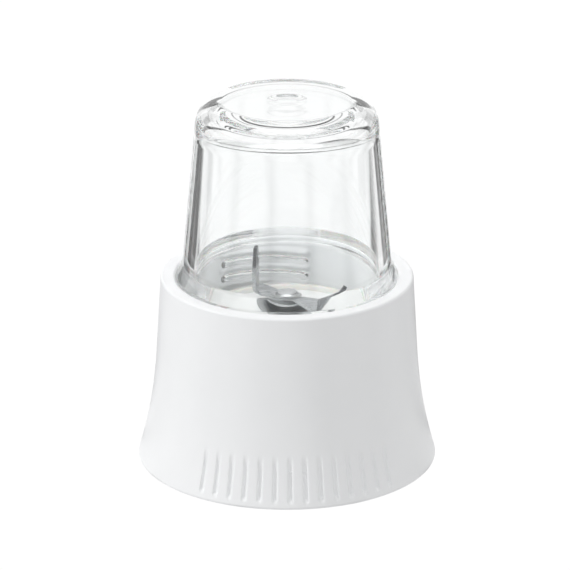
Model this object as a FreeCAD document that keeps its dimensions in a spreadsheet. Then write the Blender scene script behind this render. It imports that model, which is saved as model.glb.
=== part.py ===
import FreeCAD, Part
import Sketcher
import math
import os

# Dry mill attachment of a food processor: a pressed glass cup, screwed mouth down into a
# flared plastic base that carries a spinning two-winged cutter over a sealed bearing stack.
# Millimetres and degrees.  +Z is up, Z is the axis of cup, cutter and base, the origin is at
# the centre of the foot, and the grip grooves face -Y (with a second set facing +Y).

DIMENSIONS = {
    # flared base: the register fits the motor unit, the rim surrounds the socket
    "BaseHeight": 72.5,
    "RimWidth": 5.5,
    "WaistHeight": 41.6,
    "WaistFlare": 1.8,
    "RegisterStep": 2.0,
    "RegisterHeight": 10.0,
    "FootWidth": 5.5,
    "BaseWall": 2.4,
    "RimThickness": 2.6,
    "RimRound": 1.0,
    "LugCount": 4,
    "LugReach": 2.6,
    "LugRise": 1.0,
    "LugThickness": 3.0,
    "LugAngle": 16.0,
    # grip grooves
    "GripCount": 14,
    "GripPitch": 6.0,
    "GripBottom": 3.4,
    "GripTop": 18.2,
    "GripRadius": 1.25,
    "GripDepth": 0.75,
    # threaded socket and web inside the base
    "SocketRadius": 42.2,
    "SocketWall": 2.0,
    "SocketStep": 1.9,
    "WebThickness": 3.0,
    "WebOpening": 20.0,
    "RibCount": 8,
    "RibDepth": 6.0,
    "RibThickness": 1.8,
    # interrupted three-start thread
    "ThreadStarts": 3,
    "ThreadPitch": 6.0,
    "ThreadSector": 60.0,
    "ThreadMiddle": 101.5,
    "SocketRidgeRadius": 1.7,
    "SocketRidgeHeight": 1.6,
    "CupRidgeRadius": 1.8,
    "RidgeRise": 3.0,
    # cutter carrier, the floor of the grinding chamber
    "FloorDepth": 20.5,
    "FloorThickness": 3.0,
    "CarrierHeight": 9.0,
    "CarrierFit": 0.1,
    "SkirtThickness": 3.7,
    "SealGrooveDepth": 1.6,
    "SealGrooveWidth": 2.2,
    "SealGrooveRise": 2.5,
    "BossRadius": 14.0,
    "ScrewInset": 9.2,
    "ScrewCount": 4,
    "PillarRadius": 3.8,
    "ScrewRadius": 1.4,
    "ScrewLength": 10.0,
    "ScrewClearance": 0.3,
    "HeadRadius": 2.9,
    "HeadHeight": 2.4,
    # gasket
    "GasketInset": 0.3,
    "GasketOverhang": 0.4,
    "GasketThickness": 3.0,
    "GasketSeatDepth": 1.0,
    "GasketPlay": 0.1,
    "GasketRound": 0.5,
    # glass cup
    "CupRise": 68.9,
    "CupShoulderRise": 5.0,
    "CupShoulderStep": 0.2,
    "CupTaper": 5.8,
    "CupCornerRound": 10.2,
    "CupFlangeGap": 0.4,
    "CupFlangeRise": 0.4,
    "CupFlangeThickness": 1.6,
    "CupFlangeRound": 0.64,
    "CupNeckGap": 2.6,
    "CupNeckSlope": 1.7,
    "GlassWall": 3.2,
    "GlassTopThickness": 7.4,
    "CupInnerTaper": 5.2,
    "CupInnerRound": 8.0,
    "CupShoulderRound": 3.9,
    "CupLipRound": 1.3,
    "DimpleRadius": 7.5,
    "DimpleDepth": 1.2,
    # shaft, bearings and shaft seal
    "ShaftRadius": 4.0,
    "NeckStep": 1.0,
    "NeckFlat": 0.5,
    "RunningFit": 0.05,
    "BushWall": 2.95,
    "UpperBushLength": 7.0,
    "LowerBushLength": 7.0,
    "FeltLength": 5.0,
    "FeltPlay": 0.3,
    "FlangeWidth": 2.0,
    "FlangeThickness": 1.5,
    "SealThickness": 3.6,
    "SealRecess": 4.5,
    "SealSlack": 0.5,
    "SealLip": 1.2,
    "SealSkin": 1.0,
    "CapWidth": 4.0,
    "CapThickness": 0.8,
    "CapOpening": 1.0,
    "RetainerThickness": 1.0,
    "RetainerOpening": 0.8,
    "RetainerScrewInset": 2.6,
    "RetainerScrewCount": 3,
    "RetainerScrewRadius": 1.1,
    "RetainerScrewClearance": 0.2,
    "RetainerScrewLength": 7.5,
    "RetainerHeadRadius": 2.2,
    "RetainerHeadHeight": 1.5,
    "WasherWidth": 3.2,
    "WasherThickness": 0.8,
    "EndPlay": 0.1,
    "RingThickness": 1.0,
    "RingWidth": 3.3,
    "RingSeatDepth": 0.8,
    "RingOpening": 60.0,
    # cutter
    "ShoulderRise": 3.0,
    "SpacerWall": 4.0,
    "SlingerWidth": 3.0,
    "SlingerThickness": 1.0,
    "BladeRise": 7.3,
    "BladeThickness": 1.4,
    "BladeHubWall": 4.5,
    "BladeAzimuth": 121.7,
    "BladeWaist": 75.0,
    "BladeClearance": 15.6,
    "BendSkew": 46.0,
    "BendLength": 8.0,
    "WingHeight": 16.7,
    "WingTip": 2.8,
    "SteepWingLean": 0.0,
    "FlatWingLean": 32.0,
    "BladeWasherWidth": 3.2,
    "NutFlats": 10.0,
    "NutHeight": 2.8,
    "NutDome": 1.4,
    "NutChamfer": 0.5,
    # drive coupling
    "CouplingRadius": 16.0,
    "CouplingLift": 1.5,
    "CouplingGap": 0.8,
    "CouplingWall": 5.0,
    "DriveDepth": 7.5,
    "ToothCount": 6,
    "ToothReach": 2.2,
    "ToothWidth": 3.2,
    "ToothSetback": 1.0,
    "InsertWall": 3.0,
    "InsertLength": 4.0,
    "CouplingScrewRadius": 1.9,
    "CouplingScrewDepth": 8.0,
    "CouplingWasherInset": 1.0,
    "CouplingHeadRadius": 3.5,
    "CouplingHeadHeight": 2.5,
    "CouplingSlotLength": 4.9,
    "CouplingSlotWidth": 1.05,
    "CouplingSlotDepth": 1.25,
}

FULL_TURN = 360.0
END_GAP = 0.3            # left between the end of a shank and the bottom of its hole
OVERRUN = 1.0            # how far a cutting sketch runs past the face it opens
SLOT_LENGTH = 0.55       # of a screw head's radius, as the next two
SLOT_WIDTH = 0.13
SLOT_DEPTH = 0.6         # of a screw head's height


class Size:
    """A number and the spreadsheet expression that gives it."""

    def __init__(self, value, text):
        self.value = value
        self.text = text

    def joined(self, sign, other, value):
        return Size(value, "(%s %s %s)" % (self.text, sign, text_of(other)))

    def __add__(self, other):
        return self.joined("+", other, self.value + value_of(other))

    def __sub__(self, other):
        return self.joined("-", other, self.value - value_of(other))

    def __mul__(self, other):
        return self.joined("*", other, self.value * value_of(other))

    def __truediv__(self, other):
        return self.joined("/", other, self.value / value_of(other))

    def __neg__(self):
        return Size(-self.value, "(0 - %s)" % self.text)


def value_of(size):
    return size.value if isinstance(size, Size) else float(size)


def text_of(size):
    return size.text if isinstance(size, Size) else repr(float(size))


def cosine(angle):
    return Size(math.cos(math.radians(angle.value)), "cos(%s * 1 deg)" % angle.text)


def sine(angle):
    return Size(math.sin(math.radians(angle.value)), "sin(%s * 1 deg)" % angle.text)


doc = FreeCAD.newDocument("MillAttachment")
sheet = doc.addObject("Spreadsheet::Sheet", "Dimensions")
for row, (alias, number) in enumerate(DIMENSIONS.items(), start=1):
    sheet.set("A%d" % row, alias)
    sheet.set("B%d" % row, str(number))
    sheet.setAlias("B%d" % row, alias)
doc.recompute()


def dim(alias):
    return Size(float(sheet.get(alias)), "Dimensions.%s" % alias)


# ---------------------------------------------------------------- sketch and body helpers

def bind(target, path, size):
    """Binds a property to the sheet, or sets it when it is a plain number."""
    target.setExpression(path, text_of(size))


def new_body(label):
    body = doc.addObject("PartDesign::Body", label)
    body.Label = label
    body.AllowCompound = True
    body.Placement = FreeCAD.Placement()
    return body


def origin_feature(body, role):
    return [item for item in body.Origin.OriginFeatures if item.Role == role][0]


def new_sketch(body, name, plane, offset=(0, 0, 0), rotation=None):
    """Sketch on an origin plane, moved by offset along the plane's own x, y and normal."""
    sketch = body.newObject("Sketcher::SketchObject", name)
    sketch.AttachmentSupport = (origin_feature(body, plane), [""])
    sketch.MapMode = "FlatFace"
    base = FreeCAD.Vector(*[value_of(part) for part in offset])
    sketch.AttachmentOffset = FreeCAD.Placement(base, rotation or FreeCAD.Rotation())
    for axis, part in zip("xyz", offset):
        if isinstance(part, Size):
            bind(sketch, "AttachmentOffset.Base.%s" % axis, part)
    return sketch


def fix_point(sketch, edge, end, corner):
    """Holds one end of an edge at its two sizes from the sketch origin."""
    for kind, size in zip(("DistanceX", "DistanceY"), corner):
        index = sketch.addConstraint(
            Sketcher.Constraint(kind, -1, 1, edge, end, value_of(size)))
        if isinstance(size, Size):
            bind(sketch, "Constraints[%d]" % index, size)


def draw_outline(sketch, corners, arcs=()):
    """Closed outline through the corners.  arcs lists (edge, sagitta, straight neighbour): that
    edge is an arc, bowed by about the sagitta to its left, tangent to the neighbour edge."""
    points = [FreeCAD.Vector(value_of(x), value_of(y), 0) for x, y in corners]
    count = len(points)
    bowed = {edge: (sagitta, neighbour) for edge, sagitta, neighbour in arcs}
    starts = []
    for index, start in enumerate(points):
        end = points[(index + 1) % count]
        if index in bowed:
            chord = end - start
            left = FreeCAD.Vector(-chord.y, chord.x, 0).normalize()
            middle = (start + end) * 0.5 + left * bowed[index][0]
            curve = Part.Arc(start, middle, end)
            edge = sketch.addGeometry(curve, False)
            first = sketch.getPoint(edge, 1)
            starts.append(1 if first.distanceToPoint(start) < 1e-6 else 2)
        else:
            sketch.addGeometry(Part.LineSegment(start, end), False)
            starts.append(1)
    for index in range(count):
        after = (index + 1) % count
        end_here = 3 - starts[index]
        tangent = ((index in bowed and bowed[index][1] == after)
                   or (after in bowed and bowed[after][1] == index))
        kind = "Tangent" if tangent else "Coincident"
        sketch.addConstraint(Sketcher.Constraint(kind, index, end_here, after, starts[after]))
        fix_point(sketch, index, starts[index], corners[index])


def revolve(body, name, corners, arcs=(), offset=(0, 0, 0), rotation=None,
            angle=None, cut=False):
    """Turns an outline in the XZ plane about the sketch's upright axis."""
    sketch = new_sketch(body, name + "Sketch", "XZ_Plane", offset, rotation)
    draw_outline(sketch, corners, arcs)
    return turn_profile(body, name, sketch, angle, cut)


def turn_profile(body, name, sketch, angle=None, cut=False):
    kind = "PartDesign::Groove" if cut else "PartDesign::Revolution"
    feature = body.newObject(kind, name)
    feature.Profile = sketch
    feature.ReferenceAxis = (sketch, ["V_Axis"])
    feature.Midplane = angle is not None
    bind(feature, "Angle", FULL_TURN if angle is None else angle)
    sketch.Visibility = False
    return feature


def extrude(body, name, draw, depth, height=0, cut=False, rotation=None, plane="XY_Plane",
            offset=None, midplane=False):
    """Pads a sketch upwards from a height, or cuts it out upwards."""
    sketch = new_sketch(body, name + "Sketch", plane, offset or (0, 0, height), rotation)
    draw(sketch)
    kind = "PartDesign::Pocket" if cut else "PartDesign::Pad"
    feature = body.newObject(kind, name)
    feature.Profile = sketch
    feature.Midplane = midplane
    bind(feature, "Length", depth)
    if cut:
        feature.Reversed = True
    sketch.Visibility = False
    return feature


def repeat_round(body, name, features, count, angle=FULL_TURN):
    """Repeats features about the Z axis."""
    pattern = body.newObject("PartDesign::PolarPattern", name)
    pattern.Originals = features
    pattern.Axis = (origin_feature(body, "Z_Axis"), [""])
    bind(pattern, "Angle", angle)
    bind(pattern, "Occurrences", count)
    body.Tip = pattern
    return pattern


def circle_sketch(centre, radius):
    def draw(sketch):
        middle = FreeCAD.Vector(value_of(centre[0]), value_of(centre[1]), 0)
        shape = Part.Circle(middle, FreeCAD.Vector(0, 0, 1), value_of(radius))
        edge = sketch.addGeometry(shape, False)
        fix_point(sketch, edge, 3, centre)
        index = sketch.addConstraint(Sketcher.Constraint("Radius", edge, value_of(radius)))
        bind(sketch, "Constraints[%d]" % index, radius)
    return draw


def polygon_sketch(corners):
    def draw(sketch):
        draw_outline(sketch, corners)
    return draw


def rectangle_sketch(low_x, high_x, low_y, high_y):
    return polygon_sketch([(low_x, low_y), (high_x, low_y), (high_x, high_y), (low_x, high_y)])


def round_rings(body, name, radius, rings):
    """Rounds the full circular edges that lie at the given (radius, height) pairs."""
    doc.recompute()
    base = body.Tip
    names = []
    for index, edge in enumerate(base.Shape.Edges, start=1):
        curve = edge.Curve
        if not isinstance(curve, Part.Circle):
            continue
        for ring_radius, height in rings:
            near = (abs(curve.Radius - value_of(ring_radius)) < 1e-3
                    and abs(curve.Center.z - value_of(height)) < 1e-3)
            if near and abs(curve.Center.x) + abs(curve.Center.y) < 1e-3:
                names.append("Edge%d" % index)
    if len(names) != len(rings):
        raise RuntimeError("%s found %d of %d edges" % (name, len(names), len(rings)))
    feature = body.newObject("PartDesign::Fillet", name)
    feature.Base = (base, names)
    bind(feature, "Radius", radius)
    body.Tip = feature
    return feature


def ring_outline(inner, outer, low, high):
    return [(inner, low), (outer, low), (outer, high), (inner, high)]


def plain_ring(label, inner, outer, low, high, angle=None):
    body = new_body(label)
    revolve(body, "Ring", ring_outline(inner, outer, low, high), angle=angle)
    return body


# ---------------------------------------------------------------- shared heights and radii

base_height = dim("BaseHeight")
waist_height = dim("WaistHeight")
floor = base_height - dim("FloorDepth")
web_top = floor - dim("CarrierHeight")
web_bottom = web_top - dim("WebThickness")

socket_radius = dim("SocketRadius")
socket_bore = socket_radius - dim("SocketStep")
socket_outer = socket_radius + dim("SocketWall")
rim_radius = socket_radius + dim("RimWidth")
waist_radius = rim_radius + dim("WaistFlare")
register = waist_radius + dim("RegisterStep")
register_top = dim("RegisterHeight")
foot_radius = register + dim("FootWidth")

carrier_radius = socket_bore - dim("CarrierFit")
seal_groove = carrier_radius - dim("SealGrooveDepth")
seal_groove_low = web_top + dim("SealGrooveRise")
screw_circle = carrier_radius - dim("ScrewInset")

cup_top = base_height + dim("CupRise")
cup_neck = socket_radius - dim("CupNeckGap")
cup_mouth = cup_neck - dim("GlassWall")
gasket_inner = cup_mouth - dim("GasketOverhang")
gasket_outer = carrier_radius - dim("GasketInset")
gasket_bottom = floor - dim("GasketSeatDepth")
gasket_top = gasket_bottom + dim("GasketThickness")
lowest_ridge = floor + dim("RidgeRise")

shaft_radius = dim("ShaftRadius")
neck_radius = shaft_radius - dim("NeckStep")
neck_flat = neck_radius - dim("NeckFlat")
running_bore = shaft_radius + dim("RunningFit")
bush_radius = running_bore + dim("BushWall")
bush_flange = bush_radius + dim("FlangeWidth")
washer_radius = shaft_radius + dim("WasherWidth")
seal_seat = floor - dim("SealRecess")
seal_top = seal_seat + dim("SealThickness")
upper_bush_top = seal_seat - dim("SealSlack")
upper_bush_bottom = upper_bush_top - dim("UpperBushLength")
lower_bush_top = upper_bush_bottom - dim("FeltLength")
bush_flange_top = lower_bush_top - dim("LowerBushLength")
boss_end = bush_flange_top - dim("FlangeThickness")
retainer_bottom = boss_end - dim("RetainerThickness")
retainer_circle = dim("BossRadius") - dim("RetainerScrewInset")
thrust_top = boss_end - dim("EndPlay")
thrust_bottom = thrust_top - dim("WasherThickness")
wave_bottom = thrust_bottom - dim("WasherThickness")
ring_bottom = wave_bottom - dim("RingThickness")
ring_seat = shaft_radius - dim("RingSeatDepth")

coupling_top = ring_bottom - dim("CouplingGap")
coupling_bottom = register_top + dim("CouplingLift")
coupling_bore = dim("CouplingRadius") - dim("CouplingWall")
insert_radius = neck_radius + dim("InsertWall")
insert_bottom = coupling_top - dim("InsertLength")
neck_end = insert_bottom + END_GAP
screw_washer_bottom = insert_bottom - dim("WasherThickness")
screw_head_bottom = screw_washer_bottom - dim("CouplingHeadHeight")
screw_tip = neck_end + dim("CouplingScrewDepth")

shoulder = floor + dim("ShoulderRise")
blade_bottom = floor + dim("BladeRise")
blade_top = blade_bottom + dim("BladeThickness")
blade_hub = neck_radius + dim("BladeHubWall")
blade_washer_top = blade_top + dim("WasherThickness")
nut_top = blade_washer_top + dim("NutHeight")
neck_top = nut_top - END_GAP


def thread_ridges(body, name, centre_radius, ridge_radius, heights):
    """Rows of ring segments, each tilted to the helix angle at its middle, on every start."""
    lead = dim("ThreadPitch") * dim("ThreadStarts")
    tilt = math.degrees(math.atan(lead.value / (2 * math.pi * socket_radius.value)))
    spin = FreeCAD.Rotation(FreeCAD.Vector(0, 1, 0), dim("ThreadMiddle").value)
    lean = FreeCAD.Rotation(FreeCAD.Vector(1, 0, 0), tilt)
    rows = []
    for number, height in enumerate(heights, start=1):
        row_name = "%s%d" % (name, number)
        sketch = new_sketch(body, row_name + "Sketch", "XZ_Plane", (0, height, 0), spin * lean)
        circle_sketch((centre_radius, 0), ridge_radius)(sketch)
        rows.append(turn_profile(body, row_name, sketch, angle=dim("ThreadSector")))
    repeat_round(body, name + "Starts", rows, dim("ThreadStarts"))


# ---------------------------------------------------------------- base

def make_base_shell():
    """Flared outer wall, rim, threaded socket and the web that the carrier stands on."""
    body = new_body("base_shell")
    inner_rim = rim_radius - dim("BaseWall")
    inner_waist = waist_radius - dim("BaseWall")
    ledge = gasket_bottom + END_GAP
    under_rim = base_height - dim("RimThickness")
    outline = [
        (register, 0),
        (foot_radius, 0),
        (waist_radius, waist_height),
        (rim_radius, base_height),
        (socket_radius, base_height),
        (socket_radius, ledge),
        (socket_bore, ledge),
        (socket_bore, web_top),
        (dim("WebOpening"), web_top),
        (dim("WebOpening"), web_bottom),
        (socket_outer, web_bottom),
        (socket_outer, under_rim),
        (inner_rim, under_rim),
        (inner_waist, waist_height),
        (register, register_top),
    ]
    revolve(body, "Shell", outline, arcs=[(1, 1.2, 2), (13, -0.8, 12)])
    round_rings(body, "RimRound", dim("RimRound"),
                [(rim_radius, base_height), (socket_radius, base_height),
                 (foot_radius, 0)])
    add_ribs(body)
    add_lugs(body)
    add_screw_holes(body)
    rows = [lowest_ridge + dim("ThreadPitch") * step for step in range(3)]
    ridge = dim("SocketRidgeRadius")
    centre = socket_radius - dim("SocketRidgeHeight") + ridge
    thread_ridges(body, "SocketThread", centre, ridge, rows)
    add_grip(body, "FrontGrip", -90)
    add_grip(body, "BackGrip", 90)


def add_ribs(body):
    """Upright ribs under the web, from its opening to the outer wall."""
    half = dim("RibThickness") / 2
    reach = waist_radius - dim("BaseWall") / 2
    turn = FreeCAD.Rotation(FreeCAD.Vector(0, 0, 1), FULL_TURN / dim("RibCount").value / 2)
    rib = extrude(body, "Rib",
                  rectangle_sketch(dim("WebOpening"), reach, -half, half),
                  dim("RibDepth"), height=web_bottom - dim("RibDepth"), rotation=turn)
    repeat_round(body, "Ribs", [rib], dim("RibCount"))


def add_lugs(body):
    """Bayonet lugs just above the register, which lock the base to its motor."""
    low = register_top + dim("LugRise")
    high = low + dim("LugThickness")
    inner = register - dim("LugReach")
    wall = register + dim("BaseWall") / 2
    lug = revolve(body, "Lug", ring_outline(inner, wall, low, high), angle=dim("LugAngle"))
    repeat_round(body, "Lugs", [lug], dim("LugCount"))


def add_screw_holes(body):
    """Clearance holes in the web for the screws that hold the carrier."""
    turn = FreeCAD.Rotation(FreeCAD.Vector(0, 0, 1), FULL_TURN / dim("ScrewCount").value / 2)
    radius = dim("ScrewRadius") + dim("ScrewClearance")
    hole = extrude(body, "ScrewHole", circle_sketch((screw_circle, 0), radius),
                   dim("WebThickness") + 2 * OVERRUN, height=web_bottom - OVERRUN,
                   cut=True, rotation=turn)
    repeat_round(body, "ScrewHoles", [hole], dim("ScrewCount"))


def add_grip(body, name, azimuth):
    """Shallow round-ended grooves that follow the flare, spread about one azimuth."""
    span = dim("GripPitch") * (dim("GripCount") - 1)
    radius = dim("GripRadius")
    bottom = dim("GripBottom")
    top = dim("GripTop")
    low_radius = flare_radius(bottom.value)
    high_radius = flare_radius(top.value)
    lean = math.degrees(math.atan2(low_radius - high_radius, top.value - bottom.value))
    first = azimuth - span.value / 2
    spin = FreeCAD.Rotation(FreeCAD.Vector(0, 1, 0), first)
    tilt = FreeCAD.Rotation(FreeCAD.Vector(0, 0, 1), lean)
    start = low_radius + radius.value - dim("GripDepth").value
    place = spin.multVec(FreeCAD.Vector(start, bottom.value, 0))
    length = math.hypot(low_radius - high_radius, top.value - bottom.value)
    sketch = new_sketch(body, name + "Sketch", "XZ_Plane", tuple(place), spin * tilt)
    half_width = radius.value
    ends = [FreeCAD.Vector(0, 0, 0), FreeCAD.Vector(0, length, 0)]
    side = [FreeCAD.Vector(half_width, 0, 0), FreeCAD.Vector(half_width, length, 0)]
    tips = [FreeCAD.Vector(0, -half_width, 0), FreeCAD.Vector(0, length + half_width, 0)]
    slant = half_width * math.sqrt(0.5)
    sketch.addGeometry(Part.LineSegment(tips[1], tips[0]), False)
    sketch.addGeometry(Part.Arc(tips[0], ends[0] + FreeCAD.Vector(slant, -slant, 0), side[0]), False)
    sketch.addGeometry(Part.LineSegment(side[0], side[1]), False)
    sketch.addGeometry(Part.Arc(side[1], ends[1] + FreeCAD.Vector(slant, slant, 0), tips[1]), False)
    groove = turn_profile(body, name, sketch, cut=True)
    repeat_round(body, name + "Grooves", [groove], dim("GripCount"), span)


def flare_radius(height):
    """Radius of the outer flare, an arc that leaves the straight taper at the waist."""
    waist = FreeCAD.Vector(waist_radius.value, waist_height.value, 0)
    foot = FreeCAD.Vector(foot_radius.value, 0, 0)
    taper = FreeCAD.Vector(rim_radius.value, base_height.value, 0) - waist
    normal = FreeCAD.Vector(taper.y, -taper.x, 0).normalize()
    chord = foot - waist
    arc_radius = chord.dot(chord) / (2 * chord.dot(normal))
    centre = waist + normal * arc_radius
    return centre.x - math.sqrt(arc_radius ** 2 - (height - centre.y) ** 2)


def make_cutter_carrier():
    """Chamber floor with its skirt, screw pillars and the central bearing boss."""
    body = new_body("cutter_carrier")
    outer = carrier_radius
    groove = seal_groove
    groove_low = seal_groove_low
    groove_high = groove_low + dim("SealGrooveWidth")
    seat_wall = gasket_inner - dim("GasketPlay")
    skirt = outer - dim("SkirtThickness")
    ceiling = floor - dim("FloorThickness")
    outline = [
        (skirt, web_top), (outer, web_top),
        (outer, groove_low), (groove, groove_low), (groove, groove_high), (outer, groove_high),
        (outer, gasket_bottom), (seat_wall, gasket_bottom), (seat_wall, floor),
        (bush_flange, floor), (bush_flange, seal_seat), (bush_radius, seal_seat),
        (bush_radius, bush_flange_top), (bush_flange, bush_flange_top),
        (bush_flange, boss_end), (dim("BossRadius"), boss_end),
        (dim("BossRadius"), ceiling), (skirt, ceiling),
    ]
    revolve(body, "Tray", outline)
    turn = FreeCAD.Rotation(FreeCAD.Vector(0, 0, 1), FULL_TURN / dim("ScrewCount").value / 2)
    spot = (screw_circle, 0)
    pillar = extrude(body, "Pillar", circle_sketch(spot, dim("PillarRadius")),
                     floor - dim("FloorThickness") / 2 - web_top, height=web_top, rotation=turn)
    repeat_round(body, "Pillars", [pillar], dim("ScrewCount"))
    pilot = extrude(body, "Pilot", circle_sketch(spot, dim("ScrewRadius")),
                    dim("ScrewLength") - dim("WebThickness"), height=web_top, cut=True,
                    rotation=turn)
    repeat_round(body, "Pilots", [pilot], dim("ScrewCount"))
    small = extrude(body, "RetainerPilot",
                    circle_sketch((retainer_circle, 0), dim("RetainerScrewRadius")),
                    dim("RetainerScrewLength") - dim("RetainerThickness"), height=boss_end,
                    cut=True)
    repeat_round(body, "RetainerPilots", [small], dim("RetainerScrewCount"))


def make_carrier_seal():
    """O-ring in the carrier's groove, against the wall of the socket."""
    body = new_body("carrier_o_ring")
    radius = (socket_bore - seal_groove) / 2
    middle = seal_groove_low + dim("SealGrooveWidth") / 2
    sketch = new_sketch(body, "SectionSketch", "XZ_Plane")
    circle_sketch((seal_groove + radius, middle), radius)(sketch)
    turn_profile(body, "Section", sketch)


def screw_group(label, circle, count, turned, radius, length, head_radius, head_height, seat):
    """Pan-head screws, heads down, with a cross recess in each head."""
    body = new_body(label)
    angle = FULL_TURN / count.value / 2 if turned else 0
    spin = FreeCAD.Rotation(FreeCAD.Vector(0, 1, 0), angle)
    place = spin.multVec(FreeCAD.Vector(circle.value, 0, 0))
    outline = [
        (0, seat - head_height), (head_radius, seat - head_height), (head_radius, seat),
        (radius, seat), (radius, seat + length), (0, seat + length),
    ]
    screw = revolve(body, "Screw", outline, offset=tuple(place), rotation=spin)
    turn = FreeCAD.Rotation(FreeCAD.Vector(0, 0, 1), angle)
    long_half = head_radius * SLOT_LENGTH
    short_half = head_radius * SLOT_WIDTH
    slots = []
    for name, half_x, half_y in (("SlotA", long_half, short_half), ("SlotB", short_half, long_half)):
        slots.append(extrude(
            body, name,
            rectangle_sketch(circle - half_x, circle + half_x, -half_y, half_y),
            head_height * SLOT_DEPTH, height=seat - head_height, cut=True, rotation=turn))
    repeat_round(body, "Screws", [screw] + slots, count)


def make_retainer():
    """Steel plate that holds the lower bush in its seat."""
    body = new_body("bearing_retainer")
    opening = washer_radius + dim("RetainerOpening")
    outline = ring_outline(opening, dim("BossRadius"), retainer_bottom, boss_end)
    revolve(body, "Plate", outline)
    radius = dim("RetainerScrewRadius") + dim("RetainerScrewClearance")
    hole = extrude(body, "Hole", circle_sketch((retainer_circle, 0), radius),
                   dim("RetainerThickness") + 2 * OVERRUN, height=retainer_bottom - OVERRUN,
                   cut=True)
    repeat_round(body, "Holes", [hole], dim("RetainerScrewCount"))


def make_lower_bearing():
    body = new_body("lower_bearing")
    outline = [
        (running_bore, boss_end), (bush_flange, boss_end),
        (bush_flange, bush_flange_top), (bush_radius, bush_flange_top),
        (bush_radius, lower_bush_top), (running_bore, lower_bush_top),
    ]
    revolve(body, "Bush", outline)


def make_shaft_seal():
    """Lip seal: an outer ring, a thin diaphragm and a lip that rides on the shaft."""
    body = new_body("shaft_seal")
    lip_outer = running_bore + dim("SealLip")
    skin = seal_top - dim("SealSkin")
    lip_end = skin - dim("SealSkin")
    outline = [
        (bush_radius, seal_seat), (bush_flange, seal_seat), (bush_flange, seal_top),
        (running_bore, seal_top), (running_bore, lip_end), (lip_outer, lip_end),
        (lip_outer, skin), (bush_radius, skin),
    ]
    revolve(body, "Seal", outline)


def make_seal_cap():
    """Stainless cap over the seal, with a short spigot in the recess."""
    body = new_body("seal_cap")
    opening = shaft_radius + dim("CapOpening")
    spigot = bush_flange - dim("CapThickness")
    outer = bush_flange + dim("CapWidth")
    top = floor + dim("CapThickness")
    outline = [
        (spigot, seal_top), (bush_flange, seal_top), (bush_flange, floor),
        (outer, floor), (outer, top), (opening, top), (opening, floor), (spigot, floor),
    ]
    revolve(body, "Cap", outline)


# ---------------------------------------------------------------- cup and gasket

def make_gasket():
    body = new_body("cup_gasket")
    outline = ring_outline(gasket_inner, gasket_outer, gasket_bottom, gasket_top)
    revolve(body, "Ring", outline)
    round_rings(body, "Rounding", dim("GasketRound"),
                [(gasket_inner, gasket_top), (gasket_outer, gasket_top)])


def make_cup():
    """Pressed glass cup, mouth down, with a seating flange and interrupted thread ridges."""
    body = new_body("mill_cup")
    flange_top = base_height + dim("CupFlangeRise")
    flange_bottom = flange_top - dim("CupFlangeThickness")
    flange = socket_radius - dim("CupFlangeGap")
    shoulder_radius = cup_neck - dim("CupShoulderStep")
    shoulder_height = base_height + dim("CupShoulderRise")
    top_radius = shoulder_radius - dim("CupTaper")
    inner_top = cup_top - dim("GlassTopThickness")
    inner_top_radius = cup_mouth - dim("CupInnerTaper")
    outline = [
        (cup_mouth, gasket_top), (cup_neck, gasket_top),
        (cup_neck, flange_bottom - dim("CupNeckSlope")), (flange, flange_bottom),
        (flange, flange_top), (shoulder_radius, shoulder_height),
        (top_radius, cup_top), (dim("DimpleRadius"), cup_top),
        (0, cup_top - dim("DimpleDepth")), (0, inner_top), (inner_top_radius, inner_top),
    ]
    revolve(body, "Glass", outline)
    round_rings(body, "CornerRound", dim("CupCornerRound"), [(top_radius, cup_top)])
    round_rings(body, "InnerRound", dim("CupInnerRound"), [(inner_top_radius, inner_top)])
    round_rings(body, "ShoulderRound", dim("CupShoulderRound"),
                [(shoulder_radius, shoulder_height)])
    round_rings(body, "LipRound", dim("CupLipRound"),
                [(cup_mouth, gasket_top), (cup_neck, gasket_top)])
    round_rings(body, "FlangeRound", dim("CupFlangeRound"),
                [(flange, flange_bottom), (flange, flange_top)])
    first = lowest_ridge + dim("ThreadPitch") / 2
    rows = [first + dim("ThreadPitch") * step for step in range(2)]
    thread_ridges(body, "CupThread", cup_neck, dim("CupRidgeRadius"), rows)


# ---------------------------------------------------------------- cutter

def make_shaft():
    body = new_body("cutter_shaft")
    hole = dim("CouplingScrewRadius")
    outline = [
        (0, screw_tip), (hole, screw_tip), (hole, neck_end), (neck_radius, neck_end),
        (neck_radius, coupling_top), (shaft_radius, coupling_top), (shaft_radius, ring_bottom),
        (ring_seat, ring_bottom), (ring_seat, wave_bottom),
        (shaft_radius, wave_bottom), (shaft_radius, shoulder), (neck_radius, shoulder),
        (neck_radius, neck_top), (0, neck_top),
    ]
    revolve(body, "Turned", outline)
    far = shaft_radius + OVERRUN
    for name, low, high in (("FlatRight", neck_flat, far), ("FlatLeft", -far, -neck_flat)):
        extrude(body, name, rectangle_sketch(low, high, -far, far), blade_washer_top - shoulder,
                height=shoulder, cut=True)


def neck_hole(body, low, high):
    """Opening with two flats for the shaft's neck: a round hole with the flats left in."""
    flat = neck_flat
    reach = Size(math.sqrt(neck_radius.value ** 2 - flat.value ** 2),
                 "sqrt(%s ^ 2 - %s ^ 2)" % (neck_radius.text, flat.text))

    def draw(sketch):
        corners = [(flat, -reach), (flat, reach), (-flat, reach), (-flat, -reach)]
        bulge = neck_radius.value - reach.value
        draw_arc_ends(sketch, corners, bulge)
    extrude(body, "NeckHole", draw, high - low + 2 * OVERRUN, height=low - OVERRUN, cut=True)


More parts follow.
